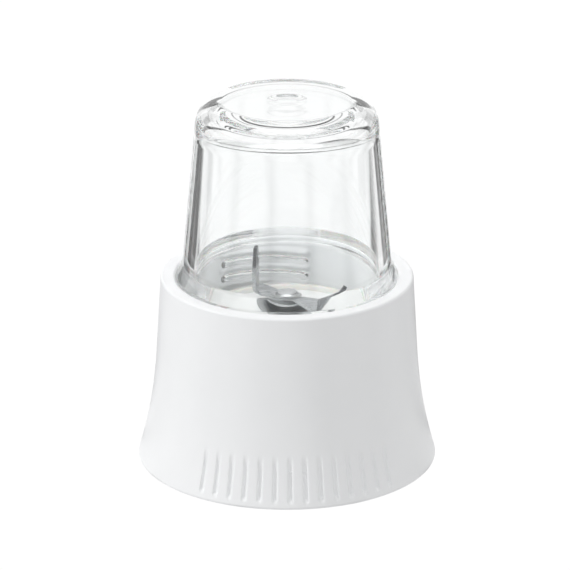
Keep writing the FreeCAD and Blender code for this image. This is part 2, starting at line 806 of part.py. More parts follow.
def draw_arc_ends(sketch, corners, bulge):
    """Two straight sides joined by two equal arcs about the sketch origin."""
    points = [FreeCAD.Vector(value_of(x), value_of(y), 0) for x, y in corners]
    top = FreeCAD.Vector(0, points[1].y + bulge, 0)
    sketch.addGeometry(Part.LineSegment(points[0], points[1]), False)
    sketch.addGeometry(Part.Arc(points[1], top, points[2]), False)
    sketch.addGeometry(Part.LineSegment(points[2], points[3]), False)
    sketch.addGeometry(Part.Arc(points[3], -top, points[0]), False)
    for first, second in ((0, 1), (1, 2), (2, 3), (3, 0)):
        sketch.addConstraint(Sketcher.Constraint("Coincident", first, 2, second, 1))
    for arc in (1, 3):
        sketch.addConstraint(Sketcher.Constraint("Coincident", arc, 3, -1, 1))
    fix_point(sketch, 0, 1, corners[0])
    index = sketch.addConstraint(Sketcher.Constraint("DistanceX", -1, 1, 2, 1, points[2].x))
    bind(sketch, "Constraints[%d]" % index, corners[2][0])


def make_blade():
    """Flat two-armed blank with an upturned wing at each end, one steeper than the other."""
    body = new_body("cutter_blade")
    azimuth = dim("BladeAzimuth")
    bend = azimuth - dim("BendSkew")
    half = dim("BendLength") / 2
    distance = cup_mouth - dim("BladeClearance")
    middle = (cosine(azimuth) * distance, sine(azimuth) * distance)
    along = (cosine(bend) * half, sine(bend) * half)
    outer = (middle[0] + along[0], middle[1] + along[1])
    inner = (middle[0] - along[0], middle[1] - along[1])
    side = azimuth - dim("BladeWaist")
    waist = (cosine(side) * blade_hub, sine(side) * blade_hub)
    half_turn = [(-x, -y) for x, y in (inner, outer, waist)]
    blank = polygon_sketch([inner, outer, waist] + half_turn)
    extrude(body, "Arms", blank, dim("BladeThickness"), height=blade_bottom)
    extrude(body, "Hub", circle_sketch((0, 0), blade_hub), dim("BladeThickness"),
            height=blade_bottom)
    height = blade_bottom + dim("BladeThickness") / 2
    for name, sign, lean in (("SteepWing", 1, dim("SteepWingLean")),
                             ("FlatWing", -1, dim("FlatWingLean"))):
        add_wing(body, name, middle, bend, height, sign, lean)
    neck_hole(body, blade_bottom, blade_top)


def add_wing(body, name, middle, bend, height, sign, lean):
    """Tapered wing standing on its bend line, leaning outwards by the given angle."""
    spin = FreeCAD.Rotation(FreeCAD.Vector(0, 1, 0), bend.value)
    tilt = FreeCAD.Rotation(FreeCAD.Vector(1, 0, 0), lean.value)
    half = dim("BendLength") / 2
    tip = dim("WingTip") / 2
    tall = dim("WingHeight")
    outline = [(-half, 0), (half, 0), (half * 0.8, tall * 0.55), (tip, tall), (-tip, tall),
               (-half, tall * 0.5)]
    extrude(body, name, polygon_sketch(outline), dim("BladeThickness"), plane="XZ_Plane",
            offset=(middle[0] * sign, height, middle[1] * -sign), rotation=spin * tilt,
            midplane=True)


def make_blade_spacer():
    """Collar under the blade, with a disc that throws powder off the seal."""
    body = new_body("blade_spacer")
    spacer = neck_radius + dim("SpacerWall")
    slinger = spacer + dim("SlingerWidth")
    slinger_top = shoulder + dim("SlingerThickness")
    outline = [
        (neck_radius, shoulder), (slinger, shoulder), (slinger, slinger_top),
        (spacer, slinger_top), (spacer, blade_bottom), (neck_radius, blade_bottom),
    ]
    revolve(body, "Collar", outline)


def make_nut():
    """Low domed nut on the shaft's threaded end."""
    body = new_body("cutter_nut")
    half = dim("NutFlats") / 2
    corner = half / math.cos(math.radians(30))
    hexagon = []
    for step in range(6):
        angle = math.radians(60 * step)
        hexagon.append((corner * round(math.cos(angle), 9), corner * round(math.sin(angle), 9)))
    extrude(body, "Hexagon", polygon_sketch(hexagon), dim("NutHeight"), height=blade_washer_top)
    dome_foot = half - dim("NutChamfer")
    dome = [(0, nut_top), (dome_foot, nut_top), (0, nut_top + dim("NutDome"))]
    revolve(body, "Dome", dome, arcs=[(1, -0.5, None)])
    extrude(body, "Bore", circle_sketch((0, 0), neck_radius), neck_top - blade_washer_top,
            height=blade_washer_top, cut=True)


# ---------------------------------------------------------------- drive coupling

def make_coupling():
    """Toothed socket that the motor's drive enters from below."""
    body = new_body("drive_coupling")
    bore = coupling_bore
    socket_top = coupling_bottom + dim("DriveDepth")
    outline = [
        (bore, coupling_bottom), (dim("CouplingRadius"), coupling_bottom),
        (dim("CouplingRadius"), coupling_top), (insert_radius, coupling_top),
        (insert_radius, socket_top), (bore, socket_top),
    ]
    revolve(body, "Cup", outline)
    half = dim("ToothWidth") / 2
    setback = dim("ToothSetback")
    tooth = extrude(body, "Tooth",
                    rectangle_sketch(bore - dim("ToothReach"), bore + OVERRUN, -half, half),
                    dim("DriveDepth") - setback, height=coupling_bottom + setback)
    repeat_round(body, "Teeth", [tooth], dim("ToothCount"))


def make_coupling_screw():
    body = new_body("coupling_screw")
    hole = dim("CouplingScrewRadius")
    outline = [
        (0, screw_head_bottom), (dim("CouplingHeadRadius"), screw_head_bottom),
        (dim("CouplingHeadRadius"), screw_washer_bottom), (hole, screw_washer_bottom),
        (hole, screw_tip), (0, screw_tip),
    ]
    revolve(body, "Screw", outline)
    half = dim("CouplingSlotLength") / 2
    slot = dim("CouplingSlotWidth") / 2
    extrude(body, "Slot", rectangle_sketch(-half, half, -slot, slot),
            dim("CouplingSlotDepth"), height=screw_head_bottom, cut=True)


make_base_shell()
make_cutter_carrier()
make_carrier_seal()
screw_group("carrier_screws", screw_circle, dim("ScrewCount"), True, dim("ScrewRadius"),
            dim("ScrewLength"), dim("HeadRadius"), dim("HeadHeight"), web_bottom)
plain_ring("upper_bearing", running_bore, bush_radius, upper_bush_bottom, upper_bush_top)
plain_ring("oil_felt", shaft_radius + dim("FeltPlay"), bush_radius, lower_bush_top,
           upper_bush_bottom)
make_lower_bearing()
make_retainer()
screw_group("retainer_screws", retainer_circle, dim("RetainerScrewCount"), False,
            dim("RetainerScrewRadius"), dim("RetainerScrewLength"), dim("RetainerHeadRadius"),
            dim("RetainerHeadHeight"), retainer_bottom)
make_shaft_seal()
make_seal_cap()
make_gasket()
make_cup()
make_shaft()
plain_ring("thrust_washer", running_bore, washer_radius, thrust_bottom, thrust_top)
plain_ring("spring_washer", running_bore, washer_radius, wave_bottom, thrust_bottom)
plain_ring("retaining_ring", ring_seat, ring_seat + dim("RingWidth"), ring_bottom, wave_bottom,
           angle=Size(FULL_TURN, "360") - dim("RingOpening"))
make_blade_spacer()
make_blade()
plain_ring("blade_washer", neck_radius, neck_radius + dim("BladeWasherWidth"), blade_top,
           blade_washer_top)
make_nut()
make_coupling()
plain_ring("coupling_insert", neck_radius, insert_radius, insert_bottom, coupling_top)
plain_ring("coupling_washer", dim("CouplingScrewRadius"),
           insert_radius - dim("CouplingWasherInset"), screw_washer_bottom, insert_bottom)
make_coupling_screw()

doc.recompute()
for item in doc.Objects:
    if "Invalid" in item.State or "Error" in item.State:
        raise RuntimeError("%s did not compute: %s" % (item.Name, item.State))

os.makedirs("parts", exist_ok=True)
for body in doc.findObjects("PartDesign::Body"):
    shape = body.Shape
    if shape.isNull() or not shape.isValid():
        raise RuntimeError("%s has no valid shape" % body.Label)
    print("%-18s solids %d  volume %10.2f  z %6.2f to %6.2f" % (
        body.Label, len(shape.Solids), shape.Volume, shape.BoundBox.ZMin, shape.BoundBox.ZMax))
    shape.exportStep("parts/%s.step" % body.Label)
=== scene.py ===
"""Looks of a dry mill attachment: an inverted glass cup screwed into a flared white base, with
its cutter, seal and drive coupling. Lengths are in metres. Those written here are in millimetres,
and length() or MM turns them into metres."""

import math

import bpy
from bpy.props import FloatProperty, FloatVectorProperty, IntProperty, PointerProperty
from mathutils import Matrix, Vector


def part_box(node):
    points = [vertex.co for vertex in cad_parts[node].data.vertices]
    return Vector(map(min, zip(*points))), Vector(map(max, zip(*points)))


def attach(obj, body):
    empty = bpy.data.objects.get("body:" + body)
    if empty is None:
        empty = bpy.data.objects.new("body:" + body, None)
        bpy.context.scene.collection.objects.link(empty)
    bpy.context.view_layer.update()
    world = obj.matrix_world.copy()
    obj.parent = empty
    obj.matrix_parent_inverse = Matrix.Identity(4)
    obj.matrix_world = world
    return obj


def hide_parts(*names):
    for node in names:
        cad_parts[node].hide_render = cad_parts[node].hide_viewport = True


bl_info = {
    "name": "Dry mill attachment",
    "version": (1, 0, 0),
    "blender": (4, 5, 0),
    "location": "View3D > Sidebar > Mill",
    "description": "Builds the visible pieces of a dry mill attachment on its packed frame",
    "category": "Object",
}

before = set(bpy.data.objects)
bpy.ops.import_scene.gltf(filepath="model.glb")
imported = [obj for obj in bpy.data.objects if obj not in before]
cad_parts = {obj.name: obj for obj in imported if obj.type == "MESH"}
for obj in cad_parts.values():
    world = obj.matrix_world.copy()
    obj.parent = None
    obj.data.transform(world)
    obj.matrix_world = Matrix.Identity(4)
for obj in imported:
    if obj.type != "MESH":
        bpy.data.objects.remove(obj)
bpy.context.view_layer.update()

MM = 0.001
FULL_TURN = math.tau
MERGE = 1e-6             # vertices nearer than this are one
ON_WALL = 0.01 * MM      # a vertex nearer than this to a wall's radius lies on that wall


def extent(node):
    """Lowest and highest point and largest radius of a round node."""
    low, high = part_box(node)
    return low.z, high.z, high.x


def linear(code):
    """An sRGB hex colour as linear red, green and blue, by the standard sRGB curve."""
    parts = [int(code[i:i + 2], 16) / 255 for i in (1, 3, 5)]
    return [c / 12.92 if c <= 0.04045 else ((c + 0.055) / 1.055) ** 2.4 for c in parts]


def length(name, description, millimetres):
    """A length that a user can change, stored in metres."""
    return FloatProperty(name=name, description=description, default=millimetres * MM,
                         min=0.0, precision=5, unit="LENGTH")


def turn(name, description, degrees):
    """An angle that a user can change."""
    return FloatProperty(name=name, description=description, default=math.radians(degrees),
                         unit="ROTATION")


def number(name, description, value):
    """A plain number that a user can change."""
    return FloatProperty(name=name, description=description, default=value)


def whole(name, description, value):
    """A whole number that a user can change."""
    return IntProperty(name=name, description=description, default=value)


def colour(name, description, code):
    """A colour that a user can change, given as an sRGB hex code."""
    return FloatVectorProperty(name=name, description=description, default=linear(code),
                               min=0.0, max=1.0, size=3, subtype="COLOR")


# ---------------------------------------------------------------- sizes and colours

class BaseSizes(bpy.types.PropertyGroup):
    """Sizes of the flared base, its grip grooves and its socket."""
    foot: length("Foot radius", "Outer radius where the base stands", 57.0)
    waist: length("Waist radius", "Outer radius where the flare meets the taper", 49.5)
    waist_height: length("Waist height", "Height where the flare meets the taper", 41.6)
    foot_round: length("Foot rounding", "Rounding of the foot's outer edge", 1.0)
    rim: length("Rim radius", "Outer radius of the rim", 47.7)
    rim_round: length("Rim rounding", "Rounding of the rim's two edges", 1.0)
    wall: length("Wall", "Thickness of the outer wall", 2.4)
    rim_thickness: length("Rim thickness", "Depth of the flat rim", 2.6)
    register: length("Register radius", "Bore that fits the motor unit", 51.5)
    register_height: length("Register height", "Height of that bore", 10.0)
    socket: length("Socket radius", "Bore that the cup screws into", 42.2)
    socket_wall: length("Socket wall", "Thickness of the socket's wall", 2.0)
    socket_step: length("Socket step", "How far the bore steps in under the gasket", 1.9)
    ledge: length("Ledge height", "Height of that step", 51.3)
    thread_rings: length("Thread rings", "Distance between the rings of the socket's mesh", 0.5)
    web: length("Web", "Thickness of the web that carries the cutter", 3.0)
    web_height: length("Web height", "Height of the web's upper face", 43.0)
    web_opening: length("Web opening", "Radius of the hole in the web", 20.0)
    rib_depth: length("Rib depth", "How far the ribs reach below the web", 6.0)
    rib: length("Rib", "Thickness of a rib", 1.8)
    rib_setback: length("Rib setback", "Distance from a rib to the web's opening", 0.2)
    rib_round: length("Rib rounding", "Rounding of a rib's edges", 0.3)
    ribs: whole("Ribs", "Number of ribs", 8)
    lug_height: length("Lug height", "Height of the bayonet lugs' underside", 11.0)
    lug: length("Lug", "Thickness of a bayonet lug", 3.0)
    lug_reach: length("Lug reach", "How far a lug stands in from the register", 2.6)
    lug_turn: turn("Lug width", "Angle that a lug covers", 16.0)
    lug_round: length("Lug rounding", "Rounding of a lug's inner edges", 0.5)
    lugs: whole("Lugs", "Number of bayonet lugs", 4)
    edge_round: length("Edge rounding", "Rounding of the small inner edges", 0.4)


class GripSizes(bpy.types.PropertyGroup):
    """Short upright grooves near the foot, front and back."""
    count: whole("Grooves", "Grooves on each side", 14)
    pitch: turn("Pitch", "Angle between two grooves", 6.0)
    bottom: length("Bottom", "Height where the grooves begin", 2.6)
    top: length("Top", "Height where the grooves have run out", 21.0)
    fade: length("Fade", "Length over which a groove runs out at its top", 9.0)
    half_width: length("Half width", "Half of a groove's width", 1.25)
    depth: length("Depth", "Depth of a groove", 1.05)
    steepness: number("Steepness", "How soon a groove's side reaches its full depth", 1.7)


class ThreadSizes(bpy.types.PropertyGroup):
    """Interrupted three-start thread between the cup and its socket."""
    starts: whole("Starts", "Number of threaded sectors", 3)
    pitch: length("Pitch", "Height from one ridge to the next", 6.0)
    sector: turn("Sector", "Angle that each threaded sector covers", 60.0)
    middle: turn("Middle", "Direction of the first sector's middle", 101.5)
    run_out: turn("Run-out", "Angle over which a ridge's end falls away", 4.0)
    lowest: length("Lowest ridge", "Height of the socket's lowest ridge", 55.0)
    ridge: length("Ridge", "Half of a ridge's width where it meets the wall", 2.2)
    socket_reach: length("Socket ridge height", "How far a socket ridge stands in", 1.6)
    cup_reach: length("Cup ridge height", "How far a cup ridge stands out", 1.7)


class CupSizes(bpy.types.PropertyGroup):
    """Pressed glass cup, mouth down."""
    neck: length("Neck radius", "Outer radius of the threaded neck", 39.6)
    mouth: length("Mouth radius", "Inner radius at the mouth", 36.4)
    flange_top: length("Flange top", "Height of the seating flange's upper edge", 72.9)
    flange: length("Flange radius", "Outer radius of the seating flange", 41.8)
    flange_thickness: length("Flange thickness", "Thickness of the flange", 1.6)
    flange_round: length("Flange rounding", "Rounding of the flange's edges", 0.64)
    slope: length("Flange slope", "Height of the slope under the flange", 1.7)
    shoulder: length("Shoulder radius", "Outer radius above the shoulder", 39.4)
    shoulder_height: length("Shoulder height", "Height of the shoulder", 77.5)
    shoulder_round: length("Shoulder rounding", "Rounding of the shoulder", 3.9)
    top: length("Top radius", "Outer radius where the top begins to round off", 33.6)
    top_round: length("Top rounding", "Rounding of the closed end", 10.2)
    inner_top: length("Inner top radius", "Inner radius at the closed end", 31.2)
    inner_round: length("Inner rounding", "Rounding inside the closed end", 8.0)
    end: length("End thickness", "Thickness of the closed end", 7.4)
    lip_round: length("Lip rounding", "Rounding of the mouth", 1.3)
    dimple: length("Dimple radius", "Radius of the dimple in the top", 8.0)
    dimple_floor: length("Dimple floor", "Radius of that dimple's flat floor", 3.6)
    dimple_depth: length("Dimple depth", "Depth of that dimple", 0.6)
    thread_rings: length("Thread rings", "Distance between the rings of the neck's mesh", 0.45)


class GasketSizes(bpy.types.PropertyGroup):
    """Flat ring with a shallow groove under the cup's mouth."""
    inset: length("Inset", "How far the ring reaches in from the cup's mouth", 0.4)
    edge: length("Edge", "Rounding of its edges", 0.5)
    groove: length("Groove", "Half of the groove's width", 1.2)
    groove_depth: length("Groove depth", "Depth of the groove", 0.4)


class CutterSizes(bpy.types.PropertyGroup):
    """Stamped two-winged cutter."""
    hub: length("Hub radius", "Radius of the blade's hub", 7.5)
    hole: length("Hole radius", "Radius of the hole for the shaft", 3.0)
    flats: length("Half flats", "Distance of the hole's flats from the axis", 2.5)
    sheet: length("Sheet", "Thickness of the blade's steel", 1.4)
    arm: turn("Arm direction", "Direction of the first arm", 121.7)
    skew: turn("Bend skew", "Angle from an arm to its bend line", 46.0)
    bend_distance: length("Bend distance", "From the axis to the middle of a bend line", 20.8)
    bend_width: length("Bend width", "Length of a bend line", 8.0)
    bend_round: length("Bend rounding", "Radius of the bend at the sheet's middle", 1.6)
    waist: turn("Waist", "Angle from an arm to the point where its edge meets the hub", 75.0)
    wing: length("Wing height", "Length of a wing along its face", 16.7)
    tip: length("Wing tip", "Width of a wing's tip", 2.8)
    steep: turn("Steep wing", "Outward lean of the first wing", 0.0)
    flat: turn("Flat wing", "Outward lean of the second wing", 32.0)
    # painted shade: how far down from its tip each wing is painted darker, and the length over
    # which that fades
    tip_shade_reach: length("Ground end", "How far down a wing its ground end reaches", 7.5)
    tip_shade_fade: length("Ground fade", "Length over which that end fades out", 1.0)
    ground_edge: length("Ground edge", "Thickness left at a ground edge", 0.35)
    edge_round: length("Edge rounding", "Rounding of the blade's edges", 0.12)
    taper_from: number("Taper start", "Share of a wing at which its cutting side tapers", 0.1)
    taper_curve: number("Taper curve", "How late that taper comes; 1 is straight", 1.6)
    back_from: number("Back taper start", "Share of a wing at which its back tapers", 0.45)


class StackSizes(bpy.types.PropertyGroup):
    """What clamps the blade, and the cap over the seal."""
    edge: length("Edge", "Rounding of the turned edges", 0.25)
    small_edge: length("Small edge", "Rounding of the cap's finer edges", 0.2)
    disc: length("Disc", "Thickness of the collar's disc", 1.0)
    disc_reach: length("Disc reach", "How far the disc stands out from the collar", 3.0)
    fillet: length("Fillet", "Rounding between disc and collar", 0.8)
    brim: length("Brim", "How far the cap's brim stands out from its spigot", 4.0)
    skin: length("Skin", "Thickness of the cap's sheet", 0.8)
    brim_edge: length("Brim edge", "Rounding of the brim's upper edge", 0.5)
    opening: length("Opening", "Radius of the cap's opening", 5.0)
    nut_flats: length("Nut flats", "Half of the nut's width across flats", 5.0)
    nut_dome: length("Nut dome", "Height of the nut's dome", 1.4)
    nut_chamfer: length("Nut chamfer", "Chamfer of the nut's corners", 0.45)
    dome_step: length("Dome step", "How far the dome stands in from the flats", 0.5)
    dome_root: length("Dome root", "How far the dome reaches down into the hexagon", 0.4)


class StageSizes(bpy.types.PropertyGroup):
    """Camera, floor and lights."""
    azimuth: turn("Azimuth", "Direction that the camera looks from", -4.3)
    elevation: turn("Elevation", "Height angle that the camera looks from", 20.6)
    distance: length("Distance", "From the camera to the object's middle", 1602.5)
    target: length("Target height", "Height that the camera looks at", 70.0)
    lens: number("Lens", "Focal length in millimetres", 268.4)
    sensor: number("Sensor", "Width of the sensor in millimetres", 36.0)
    shift_x: number("Shift across", "Camera shift, as a share of the frame", -0.003508772)
    shift_y: number("Shift up", "Camera shift, as a share of the frame", -0.008771930)
    floor: length("Floor", "Side of the floor", 6000.0)
    room: number("Room", "Brightness that gloss and glass see", 1.02)
    front: number("Front", "Brightness of the room's dim near side", 0.8)
    near_side: number("Near side", "Sine of the angle at which that side is dimmest", 0.6)
    inside: number("Inside", "Even light on matt surfaces behind glass", 1.6)
    glow: number("Glow", "Even light on matt surfaces", 0.68)
    paper: number("Paper", "Brightness of the floor", 1.03)
    paper_low: number("Paper fibres", "Share of that brightness between the fibres", 0.99)
    flag: number("Flags", "Brightness of the dark side flags and slats", 0.06)
    beyond: number("Beyond", "Brightness past the flags", 1.0)
    flag_edge: turn("Flag edge", "Angle over which a flag's edge fades", 2.0)
    left_near: turn("Left flag, near edge", "Direction of the left flag's inner edge", -28.0)
    left_far: turn("Left flag, far edge", "Direction of the left flag's outer edge", -48.0)
    right_near: turn("Right flag, near edge", "Direction of the right flag's inner edge", 30.0)
    right_far: turn("Right flag, far edge", "Direction of the right flag's outer edge", 46.0)
    slats: whole("Slats", "Dark slats on each side of the room", 3)
    slat_first: turn("First slat", "Direction of the first slat", 67.5)
    slat_pitch: turn("Slat pitch", "Angle between two slats", 45.0)
    slat: turn("Slat", "Half of the angle that a slat covers", 9.0)
    gap: number("Gap", "Brightness of the gap above the backdrop", 0.1)
    gap_low: number("Gap's low edge", "Sine of its height angle", 0.335)
    gap_high: number("Gap's high edge", "Sine of its height angle", 0.4)
    gap_edge: number("Gap's fade", "Sine over which an edge of the gap fades", 0.01)
    bounces: whole("Bounces", "Bounces of light that are followed", 32)
    key: number("Key", "Power of the soft light from the left, in watts", 11.0)
    overhead: number("Overhead", "Power of the light above, in watts", 7.0)


class Colours(bpy.types.PropertyGroup):
    """Colours of the finishes."""
    base: colour("Base", "Moulded ABS of the base", "#F4F5F6")
    carrier: colour("Carrier", "Moulded polypropylene of the chamber floor", "#ECEDEC")
    glass: colour("Glass", "Pressed soda-lime glass", "#FDFEFE")
    silicone: colour("Silicone", "Moulded silicone of the gasket", "#E9E8E4")
    nitrile: colour("Nitrile", "Moulded nitrile rubber of the seals", "#1D1D1E")
    stainless: colour("Stainless", "Stainless steel", "#D2D4D5")
    blade: colour("Blade", "Ground cutter steel", "#C6C8CA")
    # painted shade: the darker grey painted on the top of each wing
    edge: colour("Blade edge", "Hardened and ground end of a wing", "#6E7073")
    zinc: colour("Zinc", "Zinc-plated steel", "#A8AAA6")
    screw: colour("Screw steel", "Passivated screw steel", "#8E9092")
    bronze: colour("Bronze", "Sintered bronze", "#9A6C3E")
    felt: colour("Felt", "Pressed wool felt", "#B7AE9C")
    nylon: colour("Nylon", "Moulded nylon washer", "#DDD9CC")
    acetal: colour("Acetal", "Moulded acetal of the coupling", "#D9DBDD")


SETTINGS = {
    "mill_base": BaseSizes, "mill_grip": GripSizes, "mill_thread": ThreadSizes,
    "mill_cup": CupSizes, "mill_gasket": GasketSizes, "mill_cutter": CutterSizes,
    "mill_stack": StackSizes, "mill_stage": StageSizes, "mill_colours": Colours,
}


def settings(name):
    """The scene's settings of one kind."""
    return getattr(bpy.context.scene, name)


# ---------------------------------------------------------------- modelling

def object_mode():
    """Leaves edit mode and deselects everything."""
    if bpy.context.object and bpy.context.object.mode != "OBJECT":
        bpy.ops.object.mode_set(mode="OBJECT")
    bpy.ops.object.select_all(action="DESELECT")


def pick(piece):
    """Makes a piece the only one selected."""
    object_mode()
    piece.select_set(True)
    bpy.context.view_layer.objects.active = piece


def named(name):
    """Names the object that was just added."""
    piece = bpy.context.object
    piece.name = name
    piece.data.name = name
    return piece


def clean_up(outwards=True):
    """Merges doubles of the mesh in edit mode and, if asked, turns its faces outwards."""
    bpy.ops.mesh.select_all(action="SELECT")
    bpy.ops.mesh.remove_doubles(threshold=MERGE)
    if outwards:
        bpy.ops.mesh.normals_make_consistent(inside=False)


def apply_modifier(piece, kind, **values):
    """Adds a modifier with its values and applies it."""
    pick(piece)
    modifier = piece.modifiers.new(kind.title(), kind)
    for key, value in values.items():
        setattr(modifier, key, value)
    bpy.ops.object.modifier_apply(modifier=modifier.name)


def smooth(piece, degrees=35.0):
    """Smooth shading with crisp edges, and normals that follow the larger faces."""
    pick(piece)
    bpy.ops.object.shade_smooth_by_angle(angle=math.radians(degrees))
    apply_modifier(piece, "WEIGHTED_NORMAL", keep_sharp=True)


def round_edges(piece, width, degrees, segments=2, **values):
    """Rounds the edges that turn by more than an angle."""
    apply_modifier(piece, "BEVEL", width=width, segments=segments, limit_method="ANGLE",
                   angle_limit=math.radians(degrees), **values)


def join(pieces):
    """Joins pieces into the first of them."""
    object_mode()
    for piece in pieces:
        piece.select_set(True)
    bpy.context.view_layer.objects.active = pieces[0]
    bpy.ops.object.join()
    return pieces[0]


def arc_through(centre, start, sweep, step):
    """Points of an arc about a centre from a start point, both ends included."""
    count = max(2, math.ceil(abs(sweep) / step))
    arm = start - centre
    return [centre + Matrix.Rotation(sweep * i / count, 2) @ arm for i in range(count + 1)]


def rounded(corners, step=math.radians(7.5)):
    """Outline points from corners given as radius, height and, where it is round, rounding."""
    points = []
    for index, corner in enumerate(corners):
        here = Vector(corner[:2])
        rounding = corner[2] if len(corner) > 2 else 0.0
        if not rounding:
            points.append(here)
            continue
        back = (Vector(corners[index - 1][:2]) - here).normalized()
        ahead = (Vector(corners[(index + 1) % len(corners)][:2]) - here).normalized()
        half = back.angle(ahead) / 2
        centre = here + (back + ahead).normalized() * rounding / math.sin(half)
        start = here + back * rounding / math.tan(half)
        side = 1 if back.cross(ahead) < 0 else -1
        points += arc_through(centre, start, side * (math.pi - 2 * half), step)
    return points


def tangent_arc(start, end, straight_on, step=math.radians(1.0)):
    """Points of the arc from start to end whose end runs on straight towards straight_on."""
    start, end = Vector(start), Vector(end)
    along = (Vector(straight_on) - end).normalized()
    normal = Vector((along.y, -along.x))
    chord = start - end
    radius = chord.dot(chord) / (2 * chord.dot(normal))
    centre = end + normal * radius
    sweep = (start - centre).angle_signed(end - centre)
    return arc_through(centre, start, -sweep, step)


def divided(start, end, spacing):
    """Points that divide a straight line evenly, without its two ends."""
    start, end = Vector(start), Vector(end)
    count = max(1, round((end - start).length / spacing))
    return [start.lerp(end, i / count) for i in range(1, count)]


def turned_piece(name, outline, spans=((FULL_TURN, 128),), start=0.0, closed=True):
    """A solid of revolution about the Z axis. The outline is drawn as a chain of edges by
    extruding one vertex, and is then spun clockwise through each span of (angle, steps)."""
    object_mode()
    bpy.ops.mesh.primitive_plane_add(size=1)
    piece = named(name)
    bpy.ops.object.mode_set(mode="EDIT")
    bpy.ops.mesh.merge(type="CENTER")
    across = Vector((math.cos(start), math.sin(start), 0))
    points = [across * point.x + Vector((0, 0, point.y)) for point in outline]
    bpy.ops.transform.translate(value=points[0])
    for here, there in zip(points, points[1:]):
        bpy.ops.mesh.extrude_region_move(TRANSFORM_OT_translate={"value": there - here})
    if closed:
        bpy.ops.mesh.extrude_region_move(
            TRANSFORM_OT_translate={"value": points[0] - points[-1]})
    bpy.ops.mesh.select_all(action="SELECT")
    bpy.ops.mesh.remove_doubles(threshold=MERGE)
    for angle, steps in spans:
        bpy.ops.mesh.spin(steps=steps, angle=angle, center=(0, 0, 0), axis=(0, 0, 1))
    clean_up()
    bpy.ops.object.mode_set(mode="OBJECT")
    return piece


def turned_solid(name, corners, spans=((FULL_TURN, 96),)):
    """A smooth turned piece from the corners of its outline, closed unless it is on the axis."""
    on_axis = corners[0][0] == 0 and corners[-1][0] == 0
    piece = turned_piece(name, rounded(corners), spans, closed=not on_axis)
    smooth(piece)
    return piece


def softened_copy(node, rounding):
    """A copy of a CAD node with its triangles merged and its sharp edges rounded off."""
    object_mode()
    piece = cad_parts[node].copy()
    piece.data = piece.data.copy()
    piece.parent = None
    for key in list(piece.keys()):
        del piece[key]
    bpy.context.scene.collection.objects.link(piece)
    piece.name = node + "_finished"
    pick(piece)
    bpy.ops.object.mode_set(mode="EDIT")
    bpy.ops.mesh.select_all(action="SELECT")
    bpy.ops.mesh.customdata_custom_splitnormals_clear()
    clean_up(outwards=False)
    bpy.ops.mesh.dissolve_limited(angle_limit=math.radians(0.5))
    bpy.ops.object.mode_set(mode="OBJECT")
    round_edges(piece, rounding, 38, miter_outer="MITER_ARC")
    smooth(piece)
    return piece


def give_finish(piece, slot):
    """Gives a piece the material of its slot, which is made when it is first needed."""
    if slot not in made:
        make, *values = FINISHES[slot]
        made[slot] = make(*values)
    piece.data.materials.clear()
    piece.data.materials.append(made[slot])


def finish_piece(piece, body, nodes, slot):
    """Gives a finished piece its finish and the body it rides on, and hides the nodes it stands
    for.
    """
    give_finish(piece, slot)
    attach(piece, body)
    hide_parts(*nodes)


# ---------------------------------------------------------------- materials

def add_node(tree, kind, inputs=None, **values):
    """Adds a node with its settings; each input is a value or the socket that feeds it."""
    node = tree.nodes.new(kind)
    for key, value in values.items():
        setattr(node, key, value)
    for key, value in (inputs or {}).items():
        if isinstance(value, bpy.types.NodeSocket):
            tree.links.new(value, node.inputs[key])
        else:
            node.inputs[key].default_value = value
    return node


def new_material(name, **sockets):
    """A material with one Principled shader; underscores in socket names are spaces."""
    material = bpy.data.materials.new(name)
    material.use_nodes = True
    tree = material.node_tree
    tree.nodes.clear()
    inputs = {key.replace("_", " "): value for key, value in sockets.items()}
    shader = add_node(tree, "ShaderNodeBsdfPrincipled", inputs)
    add_node(tree, "ShaderNodeOutputMaterial", {"Surface": shader.outputs["BSDF"]})
    return material, tree, shader


def opaque(rgb):
    """A colour with full alpha."""
    return (*rgb, 1.0)


NOISE_LOW, NOISE_HIGH = 0.3, 0.7      # nearly all of a noise's values lie between these


def mottled(tree, shader, rgb, grain, amount, stretch=(1, 1, 1)):
    """Varies the base colour by a noise of the given grain, and returns the noise."""
    place = add_node(tree, "ShaderNodeTexCoord").outputs["Object"]
    scaled = add_node(tree, "ShaderNodeMapping", {"Vector": place, "Scale": stretch})
    noise = add_node(tree, "ShaderNodeTexNoise", {
        "Vector": scaled.outputs["Vector"], "Scale": 1 / (grain * MM), "Detail": 4.0})
    ramp = add_node(tree, "ShaderNodeValToRGB", {"Fac": noise.outputs["Fac"]})
    low, high = ramp.color_ramp.elements
    low.position, low.color = NOISE_LOW, opaque([c * (1 - amount) for c in rgb])
    high.position, high.color = NOISE_HIGH, opaque(rgb)
    tree.links.new(ramp.outputs["Color"], shader.inputs["Base Color"])
    return noise


def roughened(tree, shader, noise, low, high):
    """Lets the roughness follow a noise between two values."""
    spread = add_node(tree, "ShaderNodeMapRange", {
        "Value": noise.outputs["Fac"], "From Min": NOISE_LOW, "From Max": NOISE_HIGH,
        "To Min": low, "To Max": high})
    tree.links.new(spread.outputs["Result"], shader.inputs["Roughness"])


def embossed(tree, shader, height, depth):
    """Bumps the surface by a height socket; depth is in millimetres."""
    bump = add_node(tree, "ShaderNodeBump", {
        "Height": height, "Distance": depth * MM, "Strength": 1.0})
    tree.links.new(bump.outputs["Normal"], shader.inputs["Normal"])


